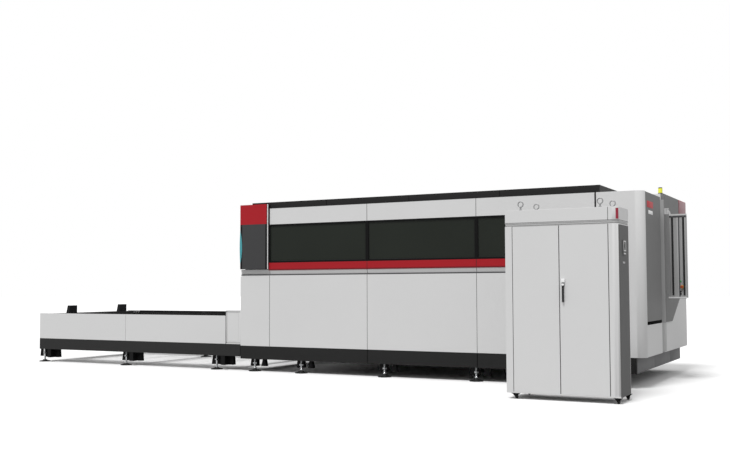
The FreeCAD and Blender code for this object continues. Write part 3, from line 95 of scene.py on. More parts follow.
class Shade:
    """A small node graph round one Principled shader, in the object's own coordinates."""

    def __init__(self, name):
        self.mat = bpy.data.materials.new("mat_" + name)
        self.tree, (out, self.bsdf, self.coord) = fresh(
            self.mat, "OutputMaterial", "BsdfPrincipled", "TexCoord")
        self.link(self.bsdf.outputs[0], out.inputs[0])

    def node(self, kind, **values):
        made = self.tree.nodes.new("ShaderNode" + kind)
        self.set(made, **values)
        return made

    def set(self, node, **values):
        """Gives sockets their values; an underscore stands for the space in a socket's name."""
        for key, value in values.items():
            node.inputs[key.replace("_", " ")].default_value = value

    def link(self, source, target):
        self.tree.links.new(source, target)

    def place(self, stretch=(1.0, 1.0, 1.0)):
        mapping = self.node("Mapping", Scale=stretch)
        self.link(self.coord.outputs["Object"], mapping.inputs["Vector"])
        return mapping.outputs["Vector"]

    def noise(self, scale, detail, rough=0.5, stretch=(1.0, 1.0, 1.0)):
        made = self.node("TexNoise", Scale=scale, Detail=detail, Roughness=rough)
        self.link(self.place(stretch), made.inputs["Vector"])
        return made.outputs["Fac"]

    def spread(self, value, low, high, start=0.3, end=0.7):
        """Stretches a noise's values from start..end to low..high."""
        made = self.node("MapRange", From_Min=start, From_Max=end, To_Min=low, To_Max=high)
        self.link(value, made.inputs["Value"])
        return made.outputs["Result"]

    def blend(self, factor, first, second):
        """Mixes two colours, each given as a value or as a socket."""
        made = self.node("Mix")
        made.data_type = "RGBA"
        self.link(factor, made.inputs[0])
        for socket, colour in ((made.inputs[6], first), (made.inputs[7], second)):
            if isinstance(colour, tuple):
                socket.default_value = colour
            else:
                self.link(colour, socket)
        return made.outputs[2]

    def colour(self, socket):
        self.link(socket, self.bsdf.inputs["Base Color"])

    def roughness(self, socket):
        self.link(socket, self.bsdf.inputs["Roughness"])

    def bump(self, height, strength, distance):
        made = self.node("Bump", Strength=strength, Distance=distance)
        self.link(height, made.inputs["Height"])
        self.link(made.outputs["Normal"], self.bsdf.inputs["Normal"])


def powder_coat(name, colour, rough=0.5, shine=0.1, grain=0.3, drift=0.03):
    """Baked sheet-metal paint: faint cloudiness, small dark flecks and fine orange peel."""
    s = Shade(name)
    s.set(s.bsdf, Specular_IOR_Level=shine)
    cloud = s.spread(s.noise(scale=0.9, detail=3.0), 0.0, 1.0)
    base = s.blend(cloud, scaled(colour, 1.0 - drift), scaled(colour, 1.0 + drift))
    fleck = s.spread(s.noise(scale=260.0, detail=1.0), 0.0, 0.06, start=0.55, end=0.8)
    s.colour(s.blend(fleck, base, scaled(colour, 0.55)))
    s.roughness(s.spread(s.noise(scale=7.0, detail=3.0), rough - 0.02, rough + 0.02))
    s.bump(s.noise(scale=420.0, detail=2.0, rough=0.6), strength=grain, distance=0.0004)
    return s.mat


def bare_metal(name, colour, rough, along="Z", streak=0.2, metal=1.0):
    """Machined or rolled metal with streaks that run along one axis."""
    s = Shade(name)
    s.set(s.bsdf, Metallic=metal)
    stretch = [60.0, 60.0, 60.0]
    stretch["XYZ".index(along)] = 1.2
    lines = s.noise(scale=6.0, detail=4.0, rough=0.65, stretch=tuple(stretch))
    cloud = s.noise(scale=3.0, detail=3.0)
    base = s.blend(s.spread(lines, 0.0, streak), colour, scaled(colour, 0.6))
    s.colour(s.blend(s.spread(cloud, 0.0, 0.25), base, scaled(colour, 0.75)))
    s.roughness(s.spread(lines, rough - 0.08, rough + 0.12))
    s.bump(lines, strength=0.15, distance=0.0003)
    return s.mat


def cast_metal(name, colour, rough):
    """Sand-cast or welded part under a thick coat."""
    s = Shade(name)
    s.set(s.bsdf, Specular_IOR_Level=0.4)
    cloud = s.spread(s.noise(scale=2.5, detail=4.0), 0.0, 1.0)
    s.colour(s.blend(cloud, scaled(colour, 0.92), scaled(colour, 1.06)))
    s.roughness(s.spread(s.noise(scale=20.0, detail=3.0), rough - 0.08, rough + 0.1))
    s.bump(s.noise(scale=180.0, detail=4.0, rough=0.7), strength=0.5, distance=0.0008)
    return s.mat


def moulded(name, colour, rough, grain=0.35):
    """Plastic or rubber with a spark-eroded grain."""
    s = Shade(name)
    s.set(s.bsdf, Specular_IOR_Level=0.4)
    cells = s.node("TexVoronoi", Scale=900.0)
    s.link(s.place(), cells.inputs["Vector"])
    cloud = s.spread(s.noise(scale=14.0, detail=2.0), 0.0, 1.0)
    s.colour(s.blend(cloud, scaled(colour, 0.9), scaled(colour, 1.1)))
    s.roughness(s.spread(s.noise(scale=40.0, detail=2.0), rough - 0.05, rough + 0.08))
    s.bump(cells.outputs["Distance"], strength=grain, distance=0.0003)
    return s.mat


def dark_glass(name, colour, rough, shine, clear=0.0):
    """Tinted safety pane: almost black, faint waviness in its reflection."""
    s = Shade(name)
    s.set(s.bsdf, Specular_IOR_Level=shine, Transmission_Weight=clear, IOR=1.49)
    cloud = s.spread(s.noise(scale=1.2, detail=2.0), 0.0, 1.0)
    s.colour(s.blend(cloud, scaled(colour, 0.93), scaled(colour, 1.07)))
    s.roughness(s.spread(s.noise(scale=3.0, detail=3.0), rough, rough + 0.05))
    s.bump(s.noise(scale=1.6, detail=1.0), strength=0.05, distance=0.004)
    return s.mat


FINISHES = {
    # name: (kind, eight-bit colour, settings); these are the CAD's own slots
    "light_paint": (powder_coat, (217, 217, 217), dict(shine=0.12, drift=0.015)),
    "dark_paint": (powder_coat, (38, 38, 38), dict(rough=0.55, shine=0.15)),
    "black_paint": (powder_coat, (19, 19, 20), dict(shine=0.15)),
    "red_paint": (powder_coat, (168, 26, 36), dict(rough=0.4, shine=0.2)),
    "portal_grey": (powder_coat, (68, 68, 69), dict(rough=0.55, shine=0.12)),
    "cabin_grey": (powder_coat, (126, 126, 126), dict(rough=0.55, shine=0.08)),
    "bed_grey": (cast_metal, (120, 123, 126), dict(rough=0.5)),
    "ground_steel": (bare_metal, (176, 178, 180), dict(rough=0.25, along="X", streak=0.35)),
    "slat_steel": (bare_metal, (18, 17, 16), dict(rough=0.6, along="Y", streak=0.6, metal=0.4)),
    "cast_alloy": (bare_metal, (168, 170, 172), dict(rough=0.4)),
    "nozzle_brass": (bare_metal, (196, 142, 84), dict(rough=0.28, streak=0.3)),
    "window_glass": (dark_glass, (36, 40, 35), dict(rough=0.14, shine=0.12)),
    "bow_glass": (dark_glass, (70, 172, 182), dict(rough=0.1, shine=0.4, clear=0.2)),
    "beacon_lens": (moulded, (255, 255, 84), dict(rough=0.3, grain=0.05)),
    "stud_chrome": (bare_metal, (222, 224, 226), dict(rough=0.16, streak=0.15)),
    "foot_rubber": (moulded, (20, 20, 20), dict(rough=0.6)),
    "black_plastic": (moulded, (18, 18, 19), dict(rough=0.45)),
    "stop_red": (moulded, (150, 62, 46), dict(rough=0.35, grain=0.1)),
    "console_grey": (powder_coat, (160, 160, 160), {}),
    "plated_steel": (bare_metal, (196, 197, 198), dict(rough=0.3)),
    # shades of those slots that only single pieces have
    "frame_black": (powder_coat, (24, 24, 24), dict(rough=0.6, shine=0.05)),
    # black for the joints, and painted shade in the slot below the cabin door
    "slot_black": (powder_coat, (6, 6, 6), dict(rough=0.8, shine=0.02)),
    # dark paint lightened with painted reflection, for the cabinet's side panel
    "side_grey": (powder_coat, (108, 108, 108), dict(rough=0.6, shine=0.08)),
    "table_grey": (powder_coat, (47, 47, 47), dict(rough=0.55, shine=0.15)),
    # dark paint lightened with painted reflection, for the plinth's right-hand face
    "plinth_side": (powder_coat, (124, 124, 125), {}),
    # painted shade in grooves and along the console's top edge
    "groove_grey": (powder_coat, (82, 82, 84), dict(rough=0.6)),
    # painted shade that darkens the slanted band
    "band_shade": (powder_coat, (203, 203, 203), dict(drift=0.015)),
    # painted highlights on the console's folds and painted shade on the transition boxes' folds
    "fold_shade": (powder_coat, (180, 180, 180), {}),
    "arm_grey": (powder_coat, (202, 202, 202), {}),
    "eye_steel": (bare_metal, (158, 158, 159), dict(rough=0.45)),
    # painted shade in the groove below the cabinet's hood
    "groove_light": (powder_coat, (192, 192, 192), {}),
    # painted shade in the low channel, darker than the wall's paint
    "channel_light": (powder_coat, (186, 186, 186), {}),
    # painted light in the high channel, lighter than the tower's grey
    "channel_grey": (powder_coat, (166, 166, 166), {}),
    "bright_trim": (powder_coat, (246, 246, 246),
                    dict(rough=0.35, shine=0.2, grain=0.1, drift=0.01)),
    # painted shade on the red stripe's lower edge
    "dull_red": (powder_coat, (122, 32, 38), {}),
    "pale_rose": (powder_coat, (160, 116, 122), dict(rough=0.45, shine=0.25)),
    "mark_red": (powder_coat, (196, 66, 72), {}),
    "strip_red": (powder_coat, (162, 62, 76), {}),
    "lamp_green": (moulded, (74, 150, 90), dict(rough=0.25, grain=0.1)),
    "collar_yellow": (moulded, (226, 178, 40), dict(rough=0.35, grain=0.1)),
}
mats = {name: kind(name, tone(*rgb), **settings)
        for name, (kind, rgb, settings) in FINISHES.items()}

for obj in nodes.values():
    for slot in obj.material_slots:
        slot.material = mats[slot.material.name]
# the cabinet's side panel gets dark paint lightened with painted reflection
for name, finish in (("window_frames", "frame_black"), ("cabinet_side_panel", "side_grey"),
                     ("table_frame", "table_grey"), ("console_arm", "arm_grey"),
                     ("console_bracket", "arm_grey")):
    nodes[name].material_slots[0].material = mats[finish]


# ------------ edges
WELD_DISTANCE = 0.00002
FLAT_ANGLE = 0.6
SHARP_ANGLE = 34.0
EDGE_STEPS = 2
EDGES = {  # the radius and the nodes that have it
    0.0025: ("table_panels", "transition_boxes", "lower_panels", "wall_bands",
             "red_covers", "cabinet_body", "cabinet_hood", "cabin_shell", "portal_sides"),
    0.0015: ("enclosure_plinth", "table_frame", "roof_panels", "red_stripes",
             "window_frames", "lift_door", "cabin_door", "tower_panels",
             "cabinet_door_left", "cabinet_door_right", "gantry_beam", "carriage",
             "machine_bed", "console_body", "end_stops", "foot_brackets", "entry_wall"),
}


def soften(obj, width):
    """Rounds the sheet-metal edges of a node without touching its mesh."""
    weld = obj.modifiers.new("weld", "WELD")
    weld.merge_threshold = WELD_DISTANCE
    flat = obj.modifiers.new("flat", "DECIMATE")
    flat.decimate_type = "DISSOLVE"
    flat.angle_limit = math.radians(FLAT_ANGLE)
    edge = obj.modifiers.new("edge", "BEVEL")
    edge.width = width
    edge.segments = EDGE_STEPS
    edge.limit_method = "ANGLE"
    edge.angle_limit = math.radians(SHARP_ANGLE)
    edge.harden_normals = True


for width, names in EDGES.items():
    for name in names:
        soften(nodes[name], width)


# ------------ mesh tools
AXES = {
    "X": Matrix(((0, 0, 1), (1, 0, 0), (0, 1, 0))),
    "Y": Matrix(((0, 1, 0), (0, 0, 1), (1, 0, 0))),
    "Z": Matrix.Identity(3),
}
HOOP_SIDES = 40
WIRE_SIDES = 14
POINT = 1e-6  # a smaller radius is the axis itself
SAME_SPOT = 0.00001
INSET = 0.001  # strips stop this far from an edge, or reach this far into a sheet


class Build:
    """Collects the mesh of one piece; bar, turn and slab give the build back."""

    def __init__(self):
        self.bm = bmesh.new()

    def bar(self, low, high, edge):
        """A straight bar or plate with rounded edges."""
        made = bmesh.ops.create_cube(self.bm, size=1.0)["verts"]
        for vert in made:
            vert.co = Vector([low[i] + (vert.co[i] + 0.5) * (high[i] - low[i]) for i in range(3)])
        lines = list(dict.fromkeys(line for vert in made for line in vert.link_edges))
        bmesh.ops.bevel(self.bm, geom=lines, offset=edge, segments=2, profile=0.5,
                        affect="EDGES", clamp_overlap=True)
        return self

    def turn(self, profile, centre, sides, axis="Z"):
        """A turned part: (radius, height) steps swept round an axis through centre."""
        spin = AXES[axis]
        centre = Vector(centre)
        rings = []
        for radius, height in profile:
            if radius < POINT:
                rings.append([self.bm.verts.new(centre + spin @ Vector((0, 0, height)))])
                continue
            ring = []
            for k in range(sides):
                angle = math.tau * k / sides
                spot = Vector((radius * math.cos(angle), radius * math.sin(angle), height))
                ring.append(self.bm.verts.new(centre + spin @ spot))
            rings.append(ring)
        for first, second in zip(rings, rings[1:]):
            if len(first) == len(second) == 1:
                continue
            for k in range(sides):
                n = (k + 1) % sides
                corners = [ring[i % len(ring)] for ring, i in
                           ((first, k), (first, n), (second, n), (second, k))]
                self.bm.faces.new(list(dict.fromkeys(corners)))
        return self

    def hoop(self, centre, radius, wire):
        """A closed ring of round wire about an axis along Y."""
        spin = AXES["Y"]
        grid = []
        for k in range(HOOP_SIDES):
            angle = math.tau * k / HOOP_SIDES
            row = []
            for m in range(WIRE_SIDES):
                tilt = math.tau * m / WIRE_SIDES
                reach = radius + wire * math.cos(tilt)
                spot = Vector((reach * math.cos(angle), reach * math.sin(angle),
                               wire * math.sin(tilt)))
                row.append(self.bm.verts.new(Vector(centre) + spin @ spot))
            grid.append(row)
        for k in range(HOOP_SIDES):
            for m in range(WIRE_SIDES):
                n, o = (k + 1) % HOOP_SIDES, (m + 1) % WIRE_SIDES
                self.bm.faces.new((grid[k][m], grid[n][m], grid[n][o], grid[k][o]))

    def slab(self, outline, start, end, axis):
        """A flat outline drawn out from start to end along an axis.

        The outline is given as (x, y) across Z, as (y, z) across X and as (z, x) across Y.
        """
        spin = AXES[axis]
        low = [self.bm.verts.new(spin @ Vector((u, v, start))) for u, v in outline]
        high = [self.bm.verts.new(spin @ Vector((u, v, end))) for u, v in outline]
        self.bm.faces.new(low[::-1])
        self.bm.faces.new(high)
        for k in range(len(outline)):
            n = (k + 1) % len(outline)
            self.bm.faces.new((low[k], low[n], high[n], high[k]))
        return self

    def border(self, low, high, width, axis, edge):
        """A rectangular frame of four bars, seen along the axis."""
        u, v = [i for i in range(3) if i != "XYZ".index(axis)]
        for side in (0, 1):
            for i, j in ((u, v), (v, u)):
                a, b = list(low), list(high)
                if side:
                    a[i] = high[i] - width
                else:
                    b[i] = low[i] + width
                if i == v:
                    a[j] += width
                    b[j] -= width
                self.bar(a, b, edge)

    def done(self, name, body, material, slot=None, crease=32.0):
        """Makes the piece, lets it ride on its body and gives it a finish."""
        bmesh.ops.recalc_face_normals(self.bm, faces=self.bm.faces)
        mesh = bpy.data.meshes.new(name)
        self.bm.to_mesh(mesh)
        self.bm.free()
        for face in mesh.polygons:
            face.use_smooth = True
        mesh.set_sharp_from_angle(angle=math.radians(crease))
        obj = bpy.data.objects.new(name, mesh)
        bpy.context.scene.collection.objects.link(obj)
        mesh.materials.append(mats[material])
        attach(obj, body)
        return obj


def parts_of(name):
    """The low and high corners of the separate solids in a node."""
    obj = nodes[name]
    bm = bmesh.new()
    bm.from_mesh(obj.data)
    bmesh.ops.remove_doubles(bm, verts=bm.verts, dist=SAME_SPOT)
    place = obj.matrix_world.copy()
    seen = set()
    boxes = []
    for seed in bm.verts:
        if seed in seen:
            continue
        seen.add(seed)
        todo = [seed]
        spots = []
        while todo:
            vert = todo.pop()
            spots.append(place @ vert.co)
            for line in vert.link_edges:
                other = line.other_vert(vert)
                if other not in seen:
                    seen.add(other)
                    todo.append(other)
        boxes.append([Vector([pick(s[i] for s in spots) for i in range(3)])
                      for pick in (min, max)])
    bm.free()
    return boxes


def box(name):
    """The low and high corners of a whole node."""
    return [Vector(corner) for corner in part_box(name)]


def middle_of(low, high):
    """The centre of a box, as plain numbers."""
    return tuple((a + b) / 2 for a, b in zip(low, high))


def both_ways(profile):
    """A turned profile followed by its mirror image."""
    return profile + [(radius, -height) for radius, height in profile[::-1]]


# ------------ levelling feet
ROD_RADIUS = 0.014
THREAD_PITCH = 0.006
THREAD_DEPTH = 0.0012
NUT_BELOW_BEAM = 0.044
NUT_HEIGHT = 0.024
NUT_RADIUS = 0.029
NUT_CHAMFER = 0.003
BALL_RADIUS = 0.020
BALL_STEPS = 12
LOW_BEAM = 0.18  # a beam below this height stands on ball joints


def levelling_feet():
    """Round pads, threaded rods and lock nuts, with a ball joint under a low beam."""
    pads, studs, nuts = Build(), Build(), Build()
    under_table, under_plinth = box("table_frame")[0].z, box("enclosure_plinth")[0].z
    table_right = box("table_frame")[1].x
    for low, high in parts_of("foot_pads"):
        x, y, _ = middle_of(low, high)
        radius = (high.x - low.x) / 2
        under = under_table if x < table_right else under_plinth
        pads.turn([(0, 0), (radius - 0.002, 0), (radius, 0.002), (radius, 0.007),
                   (radius * 0.95, 0.010), (radius * 0.55, 0.018), (radius * 0.36, 0.024),
                   (radius * 0.34, high.z), (0, high.z)], (x, y, 0), sides=40)
        profile = [(0, high.z - 0.002), (ROD_RADIUS, high.z - 0.002)]
        z = high.z
        while z < under - THREAD_PITCH:
            profile += [(ROD_RADIUS, z), (ROD_RADIUS - THREAD_DEPTH, z + THREAD_PITCH * 0.5)]
            z += THREAD_PITCH
        studs.turn(profile + [(ROD_RADIUS, under), (0, under)], (x, y, 0), sides=20)
        top = under - NUT_BELOW_BEAM
        base = top - NUT_HEIGHT
        face = NUT_RADIUS - NUT_CHAMFER
        nuts.turn([(ROD_RADIUS, base), (face, base), (NUT_RADIUS, base + NUT_CHAMFER),
                   (NUT_RADIUS, top - NUT_CHAMFER), (face, top), (ROD_RADIUS, top)],
                  (x, y, 0), sides=6)
        if under < LOW_BEAM:
            steps = [k * math.pi / BALL_STEPS for k in range(1, BALL_STEPS)]
            nuts.turn([(BALL_RADIUS * math.sin(s), -BALL_RADIUS * math.cos(s)) for s in steps],
                      (x, y, high.z + BALL_RADIUS * 0.7), sides=24)
    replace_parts(pads.done("round_foot_pads", "machine", "foot_rubber"), "foot_pads")
    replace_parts(studs.done("threaded_studs", "machine", "stud_chrome"), "foot_studs")
    nuts.done("foot_nuts", "machine", "stud_chrome", crease=20.0)


levelling_feet()


# ------------ pallets
TOOTH_PITCH = 0.050
TOOTH_HEIGHT = 0.034
TOOTH_TIP = 0.003


def slats(node, body):
    """Laser-cut support slats with a row of pointed teeth."""
    made = Build()
    for low, high in parts_of(node):
        count = round((high.y - low.y) / TOOTH_PITCH)
        pitch = (high.y - low.y) / count
        root = high.z - TOOTH_HEIGHT
        outline = [(low.y, low.z), (high.y, low.z), (high.y, root)]
        for k in range(count, 0, -1):
            middle = low.y + (k - 0.5) * pitch
            outline += [(middle + TOOTH_TIP, high.z), (middle - TOOTH_TIP, high.z)]
            if k > 1:
                outline.append((middle - pitch / 2, root))
        outline.append((low.y, root))
        made.slab(outline, low.x, high.x, "X")
    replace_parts(made.done(node + "_toothed", body, "slat_steel"), node)


slats("upper_pallet_slats", "upper_pallet")
slats("lower_pallet_slats", "lower_pallet")


# ------------ portal
STRIP_WIDTH = 0.020
STRIP_PROUD = 0.0012
LENS_GAP = 0.0006
LENS_STEPS = 12
COVER_TOP = 2.255
TOP_BLACK_LOW = 2.196
BEAD_RADIUS = 0.0095
BEAD_IN = 0.0215
BEAD_STEPS = 12


def portal():
    """Black strips round the side panels and the bowed window, and a light bead in front."""
    near, far = parts_of("portal_sides")
    lens_low, lens_high = box("bowed_window")
    strips, trims = Build(), Build()
    for (low, high), face, out in ((near, near[0].y, -1), (far, far[1].y, 1)):
        y0, y1 = sorted((face, face + out * STRIP_PROUD))
        bottom, top = low.z + 0.002, high.z - 0.002
        strips.bar((high.x - STRIP_WIDTH, y0, bottom), (high.x - INSET, y1, top), edge=0.0004)
        middle = (lens_low.z + lens_high.z) / 2
        half = (lens_high.z - lens_low.z) / 2
        depth = lens_high.x - low.x
        arc_radius = (half * half + depth * depth) / (2 * depth)
        arc_x = lens_high.x - arc_radius
        left, right = low.x + INSET, lens_high.x + 0.001
        for way, end in ((-1, bottom), (1, top)):
            outline = [(end, left), (end, right), (middle, right)]
            for k in range(LENS_STEPS + 1):
                z = middle + way * half * k / LENS_STEPS
                x = arc_x + math.sqrt(arc_radius ** 2 - (z - middle) ** 2)
                outline.append((z, max(left, x + LENS_GAP if k else x)))
            strips.slab(outline, y0, y1, "Y")
        for start, end, foot in ((0.0004, 0.044, low.z + INSET), (0.043, 0.090, TOP_BLACK_LOW)):
            y0, y1 = sorted((face - out * start, face - out * end))
            strips.bar((high.x - 0.0005, y0, foot), (high.x + STRIP_PROUD, y1, COVER_TOP - INSET),
                       edge=0.0003)
        centre = face - out * BEAD_IN
        turns = [math.radians(-90 + 180 * k / BEAD_STEPS) for k in range(BEAD_STEPS + 1)]
        bead = [(high.x + 0.0008 + BEAD_RADIUS * math.cos(g), centre + BEAD_RADIUS * math.sin(g))
                for g in turns]
        trims.slab(bead, low.z, COVER_TOP, "Z")
    strips.done("portal_edge_strips", "machine", "black_paint")
    trims.done("portal_edge_trims", "machine", "bright_trim", "light_paint")


portal()


# ------------ windows
GASKET_WIDTH = 0.004
GASKET_PROUD = 0.004


def gaskets():
    """A rubber gasket round each window pane."""
    made = Build()
    for low, high in parts_of("window_panes"):
        face, way = (low.y, -1) if low.y < 0 else (high.y, 1)
        y0, y1 = sorted((face, face + way * GASKET_PROUD))
        made.border((low.x, y0, low.z), (high.x, y1, high.z), GASKET_WIDTH, axis="Y", edge=0.0012)
    made.done("window_gaskets", "machine", "black_plastic")


gaskets()


# ------------ wall joints
PANEL_JOINTS = (-0.456, 1.032, 2.520)
JOINT_HALF = 0.0026
BUTT_HALF = 0.0035
SLOT_LOW = 1.2935
SLOT_HIGH = 1.3085
BAND_TOP = 1.374
BAND_LEAN = 0.014
STRIPE_LEFT = -0.4735
# strips on the wall: start and end behind the bands' face, then bottom and top
LOWER_JOINT = (-0.0004, 0.004, 0.342, 1.2925)
RED_JOINT = (-0.0016, 0.004, 1.3755, 1.4625)
TOP_JOINT = (-0.001, 0.004, 1.980, 2.194)
PLINTH_JOINT = (-0.0008, 0.002, 0.166, 0.340)
GROOVE = (0.002, 0.012, SLOT_LOW, SLOT_HIGH)
RED_LIP = (-0.0011, 0.0042, 1.3605, 1.379)
ROOF_GASKET = (-0.0008, 0.004, 2.195, 2.2008)
# strips on the slanted band: how far before and behind its face, then in from its edges
BAND_JOINT = (0.0013, 0.004, 0.0006, 0.0005)
BAND_COVER = (0.0006, 0.0008, 0.0008, 0.0006)
ROOF_EDGE = 0.088


def wall_linings():
    """Dark strips in the joints between wall panels, and painted shade in the groove below the red
    stripe, on the slanted band and along the red stripe's lower edge.
    """
    band_low, band_high = box("wall_bands")
    joints, groove, cover, lip, gasket = Build(), Build(), Build(), Build(), Build()
    butts = Build()
    for face, way in ((band_low.y, 1), (band_high.y, -1)):
        def strip(build, x0, x1, start, end, z0, z1):
            y0, y1 = sorted((face + way * start, face + way * end))
            build.bar((x0, y0, z0), (x1, y1, z1), edge=0.0003)

        def leaning(build, x0, x1, front, back, low_in, top_in):
            z0, z1 = SLOT_HIGH + low_in, BAND_TOP - top_in
            build.slab([(face + way * (BAND_LEAN - front), z0), (face - way * front, z1),
                        (face + way * back, z1), (face + way * (BAND_LEAN + back), z0)],
                       x0, x1, "X")

        for x in PANEL_JOINTS:
            strip(joints, x - JOINT_HALF, x + JOINT_HALF, *LOWER_JOINT)
            leaning(joints, x - JOINT_HALF, x + JOINT_HALF, *BAND_JOINT)
        for x in PANEL_JOINTS[1:]:
            strip(joints, x - JOINT_HALF, x + JOINT_HALF, *RED_JOINT)
            strip(joints, x - JOINT_HALF, x + JOINT_HALF, *TOP_JOINT)
            strip(butts, x - BUTT_HALF, x + BUTT_HALF, *PLINTH_JOINT)
        # painted shade: a dark grey strip in the groove below the red stripe
        strip(groove, band_low.x + INSET, band_high.x - INSET, *GROOVE)
        # painted shade: a cover that darkens the slanted band
        leaning(cover, band_low.x + 0.0006, band_high.x - 0.0006, *BAND_COVER)
        # painted shade: a darker red lip along the red stripe's lower edge
        strip(lip, STRIPE_LEFT, band_high.x - 0.006, *RED_LIP)
        strip(gasket, STRIPE_LEFT, band_high.x + 0.001, *ROOF_GASKET)
    butts.done("plinth_joint_strips", "machine", "slot_black", "black_plastic")
    joints.done("panel_joint_strips", "machine", "black_plastic")
    groove.done("groove_shade_lining", "machine", "groove_grey", "dark_paint")
    cover.done("slanted_band_shade_cover", "machine", "band_shade", "light_paint")
    lip.done("red_stripe_shade_lip", "machine", "dull_red", "red_paint")
    gasket.done("roof_gasket", "machine", "dark_paint")

    roofs = sorted(parts_of("roof_panels"), key=lambda pair: pair[0].x)
    caps = Build()
    for (low, high), (next_low, _) in zip(roofs, roofs[1:]):
        x0, x1 = high.x - 0.0006, next_low.x + 0.0006
        z0, z1 = low.z + 0.002, low.z + ROOF_EDGE
        caps.bar((x0, low.y - 0.0005, z0), (x1, low.y + 0.004, z1), edge=0.0003)
        caps.bar((x0, high.y - 0.004, z0), (x1, high.y + 0.0005, z1), edge=0.0003)
        caps.bar((x0, low.y + 0.002, high.z - 0.004), (x1, high.y - 0.002, high.z - 0.0005),
                 edge=0.0003)
    caps.done("roof_joint_strips", "machine", "slot_black", "black_plastic")


wall_linings()


# ------------ table
LONG_PANEL = 1.0
GUARD_THICK = 0.012
GUARD_LOW = 0.660
FOLD_PROUD = 0.0006
FOLD_WIDE = 0.016
FOLD_FOOT = 0.014
FOLD_HEAD = 0.012
FIRST_FEET = 0.5
GUSSET_DROP = 0.112
GUSSET_NOSE = 0.090
GUSSET_THICK = 0.024


def table_details():
    """Guards beside the pallets, painted shade along the folds on the boxes and the first feet's
    gussets.
    """
    guards, folds, gussets, fillers = Build(), Build(), Build(), Build()
    start = box("upper_pallet_frame")[0].x
    for low, high in parts_of("table_panels"):
        if high.x - low.x <= LONG_PANEL:
            continue
        inner, way = (high.y, 1) if low.y < 0 else (low.y, -1)
        x0, x1 = max(low.x, start) + INSET, high.x - INSET
        y0, y1 = sorted((inner - way * 0.0004, inner + way * GUARD_THICK))
        guards.bar((x0, y0, GUARD_LOW), (x1, y1, high.z - 0.0005), edge=0.002)
        y0, y1 = sorted((inner + way * 0.001, inner - way * (high.y - low.y - 0.006)))
        guards.bar((x0, y0, high.z - 0.0004), (x1, y1, high.z + 0.0016), edge=0.0004)

    wall_left = box("lower_panels")[0].x
    for low, high in parts_of("transition_boxes"):
        near = low.y < 0
        y0, y1 = (low.y - FOLD_PROUD, low.y) if near else (high.y, high.y + FOLD_PROUD)
        x0, x1 = low.x + 0.0045, high.x - INSET
        z0, z1 = low.z + FOLD_FOOT, high.z - FOLD_HEAD
        # painted shade: grey strips along the folds of the boxes
        folds.bar((x0, y0, z0), (x0 + FOLD_WIDE, y1, z1), edge=0.0002)
        folds.bar((x0, y0, z1 - FOLD_WIDE), (x1, y1, z1), edge=0.0002)
        folds.bar((x0, y0, z0), (x1, y1, z0 + 0.012), edge=0.0002)
        y0, y1 = (low.y + 0.0004, low.y + 0.004) if near else (high.y - 0.004, high.y - 0.0004)
        fillers.bar((high.x - 0.0004, y0, low.z + INSET), (wall_left + 0.0004, y1, high.z - INSET),
                    edge=0.0002)

    table_left = box("table_panels")[0].x
    for low, high in parts_of("foot_studs"):
        if low.x > table_left + FIRST_FEET:
            continue
        inner, outer = (low.x + high.x) / 2 - 0.018, table_left - 0.006
        y0 = low.y - 0.020 if low.y < 0 else high.y - 0.004
        foot = high.z - GUSSET_DROP
        plate = [(high.z, table_left + 0.003), (high.z, inner), (foot, inner), (foot, outer),
                 (high.z - GUSSET_NOSE, outer)]
        gussets.slab(plate, y0, y0 + GUSSET_THICK, "Y")
    fillers.done("transition_box_fillers", "machine", "light_paint")
    guards.done("pallet_side_guards", "machine", "frame_black", "black_paint")
    folds.done("transition_box_fold_shade", "machine", "fold_shade", "light_paint")
    gussets.done("corner_foot_gussets", "machine", "black_paint", crease=20.0)


table_details()


COVER_STARTS = (0.032, 0.952, 1.902)


def plinth_end():
    """Cover sheets over the plinth's right-hand face, dark paint lightened with painted reflection,
    with a dark corner.
    """
    low, high = box("enclosure_plinth")
    sheets = Build()
    edges = [low.y + start for start in COVER_STARTS] + [high.y - INSET]
    # the sheets' lighter grey is painted reflection on the dark paint
    for y0, y1 in zip(edges, edges[1:]):
        sheets.bar((high.x, y0 + 0.002, low.z + INSET),
                   (high.x + 0.0012, y1 - 0.002, high.z - INSET), edge=0.0004)
    sheets.done("plinth_end_reflection_covers", "machine", "plinth_side", "dark_paint")


plinth_end()


# ------------ wheeled cabinet
SEAL_WIDTH = 0.0035
SEAL_PROUD = 0.0008
SPLIT_SEAL = 0.0012
CORNER = 0.060
LINE_HIGH = 0.0032
RAIL_LOW = 0.0024
RAIL_HIGH = 0.007
HOOD_LIP = 0.0055
SEAM_PROUD = 0.0006
BASE_LOW = 0.0602
BASE_HIGH = 0.0716
# rings round the cabinet: how deep behind its faces, and how thick
RAIL_RING = (0.0012, 0.012)
# the line rings are painted shade along the groove's edges, the groove and lip rings painted shade
# in it
LOW_LINE_RING = (0.0004, 0.012)
GROOVE_RING = (0.0048, 0.010)
LIP_RING = (-0.0006, 0.002)
HIGH_LINE_RING = (-0.0009, 0.002)
BASE_RING = (-0.0006, 0.0022)
WRAP_PROUD = 0.0018
RED_PROUD = 0.0008
EYE_RADIUS = 0.027
EYE_WIRE = 0.0058
EYE_BELOW_TOP = 0.033
MARK_PITCH = 0.046
MARK_DROP = 0.086


def corner_arc(radius, start, end, steps):
    """Points round the middle of the cabinet's rounded corner, from its front to its side."""
    low, high = box("cabinet_hood")
    turns = [math.radians(start + (end - start) * n / steps) for n in range(steps + 1)]
    return [(high.x - CORNER + radius * math.sin(g), low.y + CORNER - radius * math.cos(g))
            for g in turns]


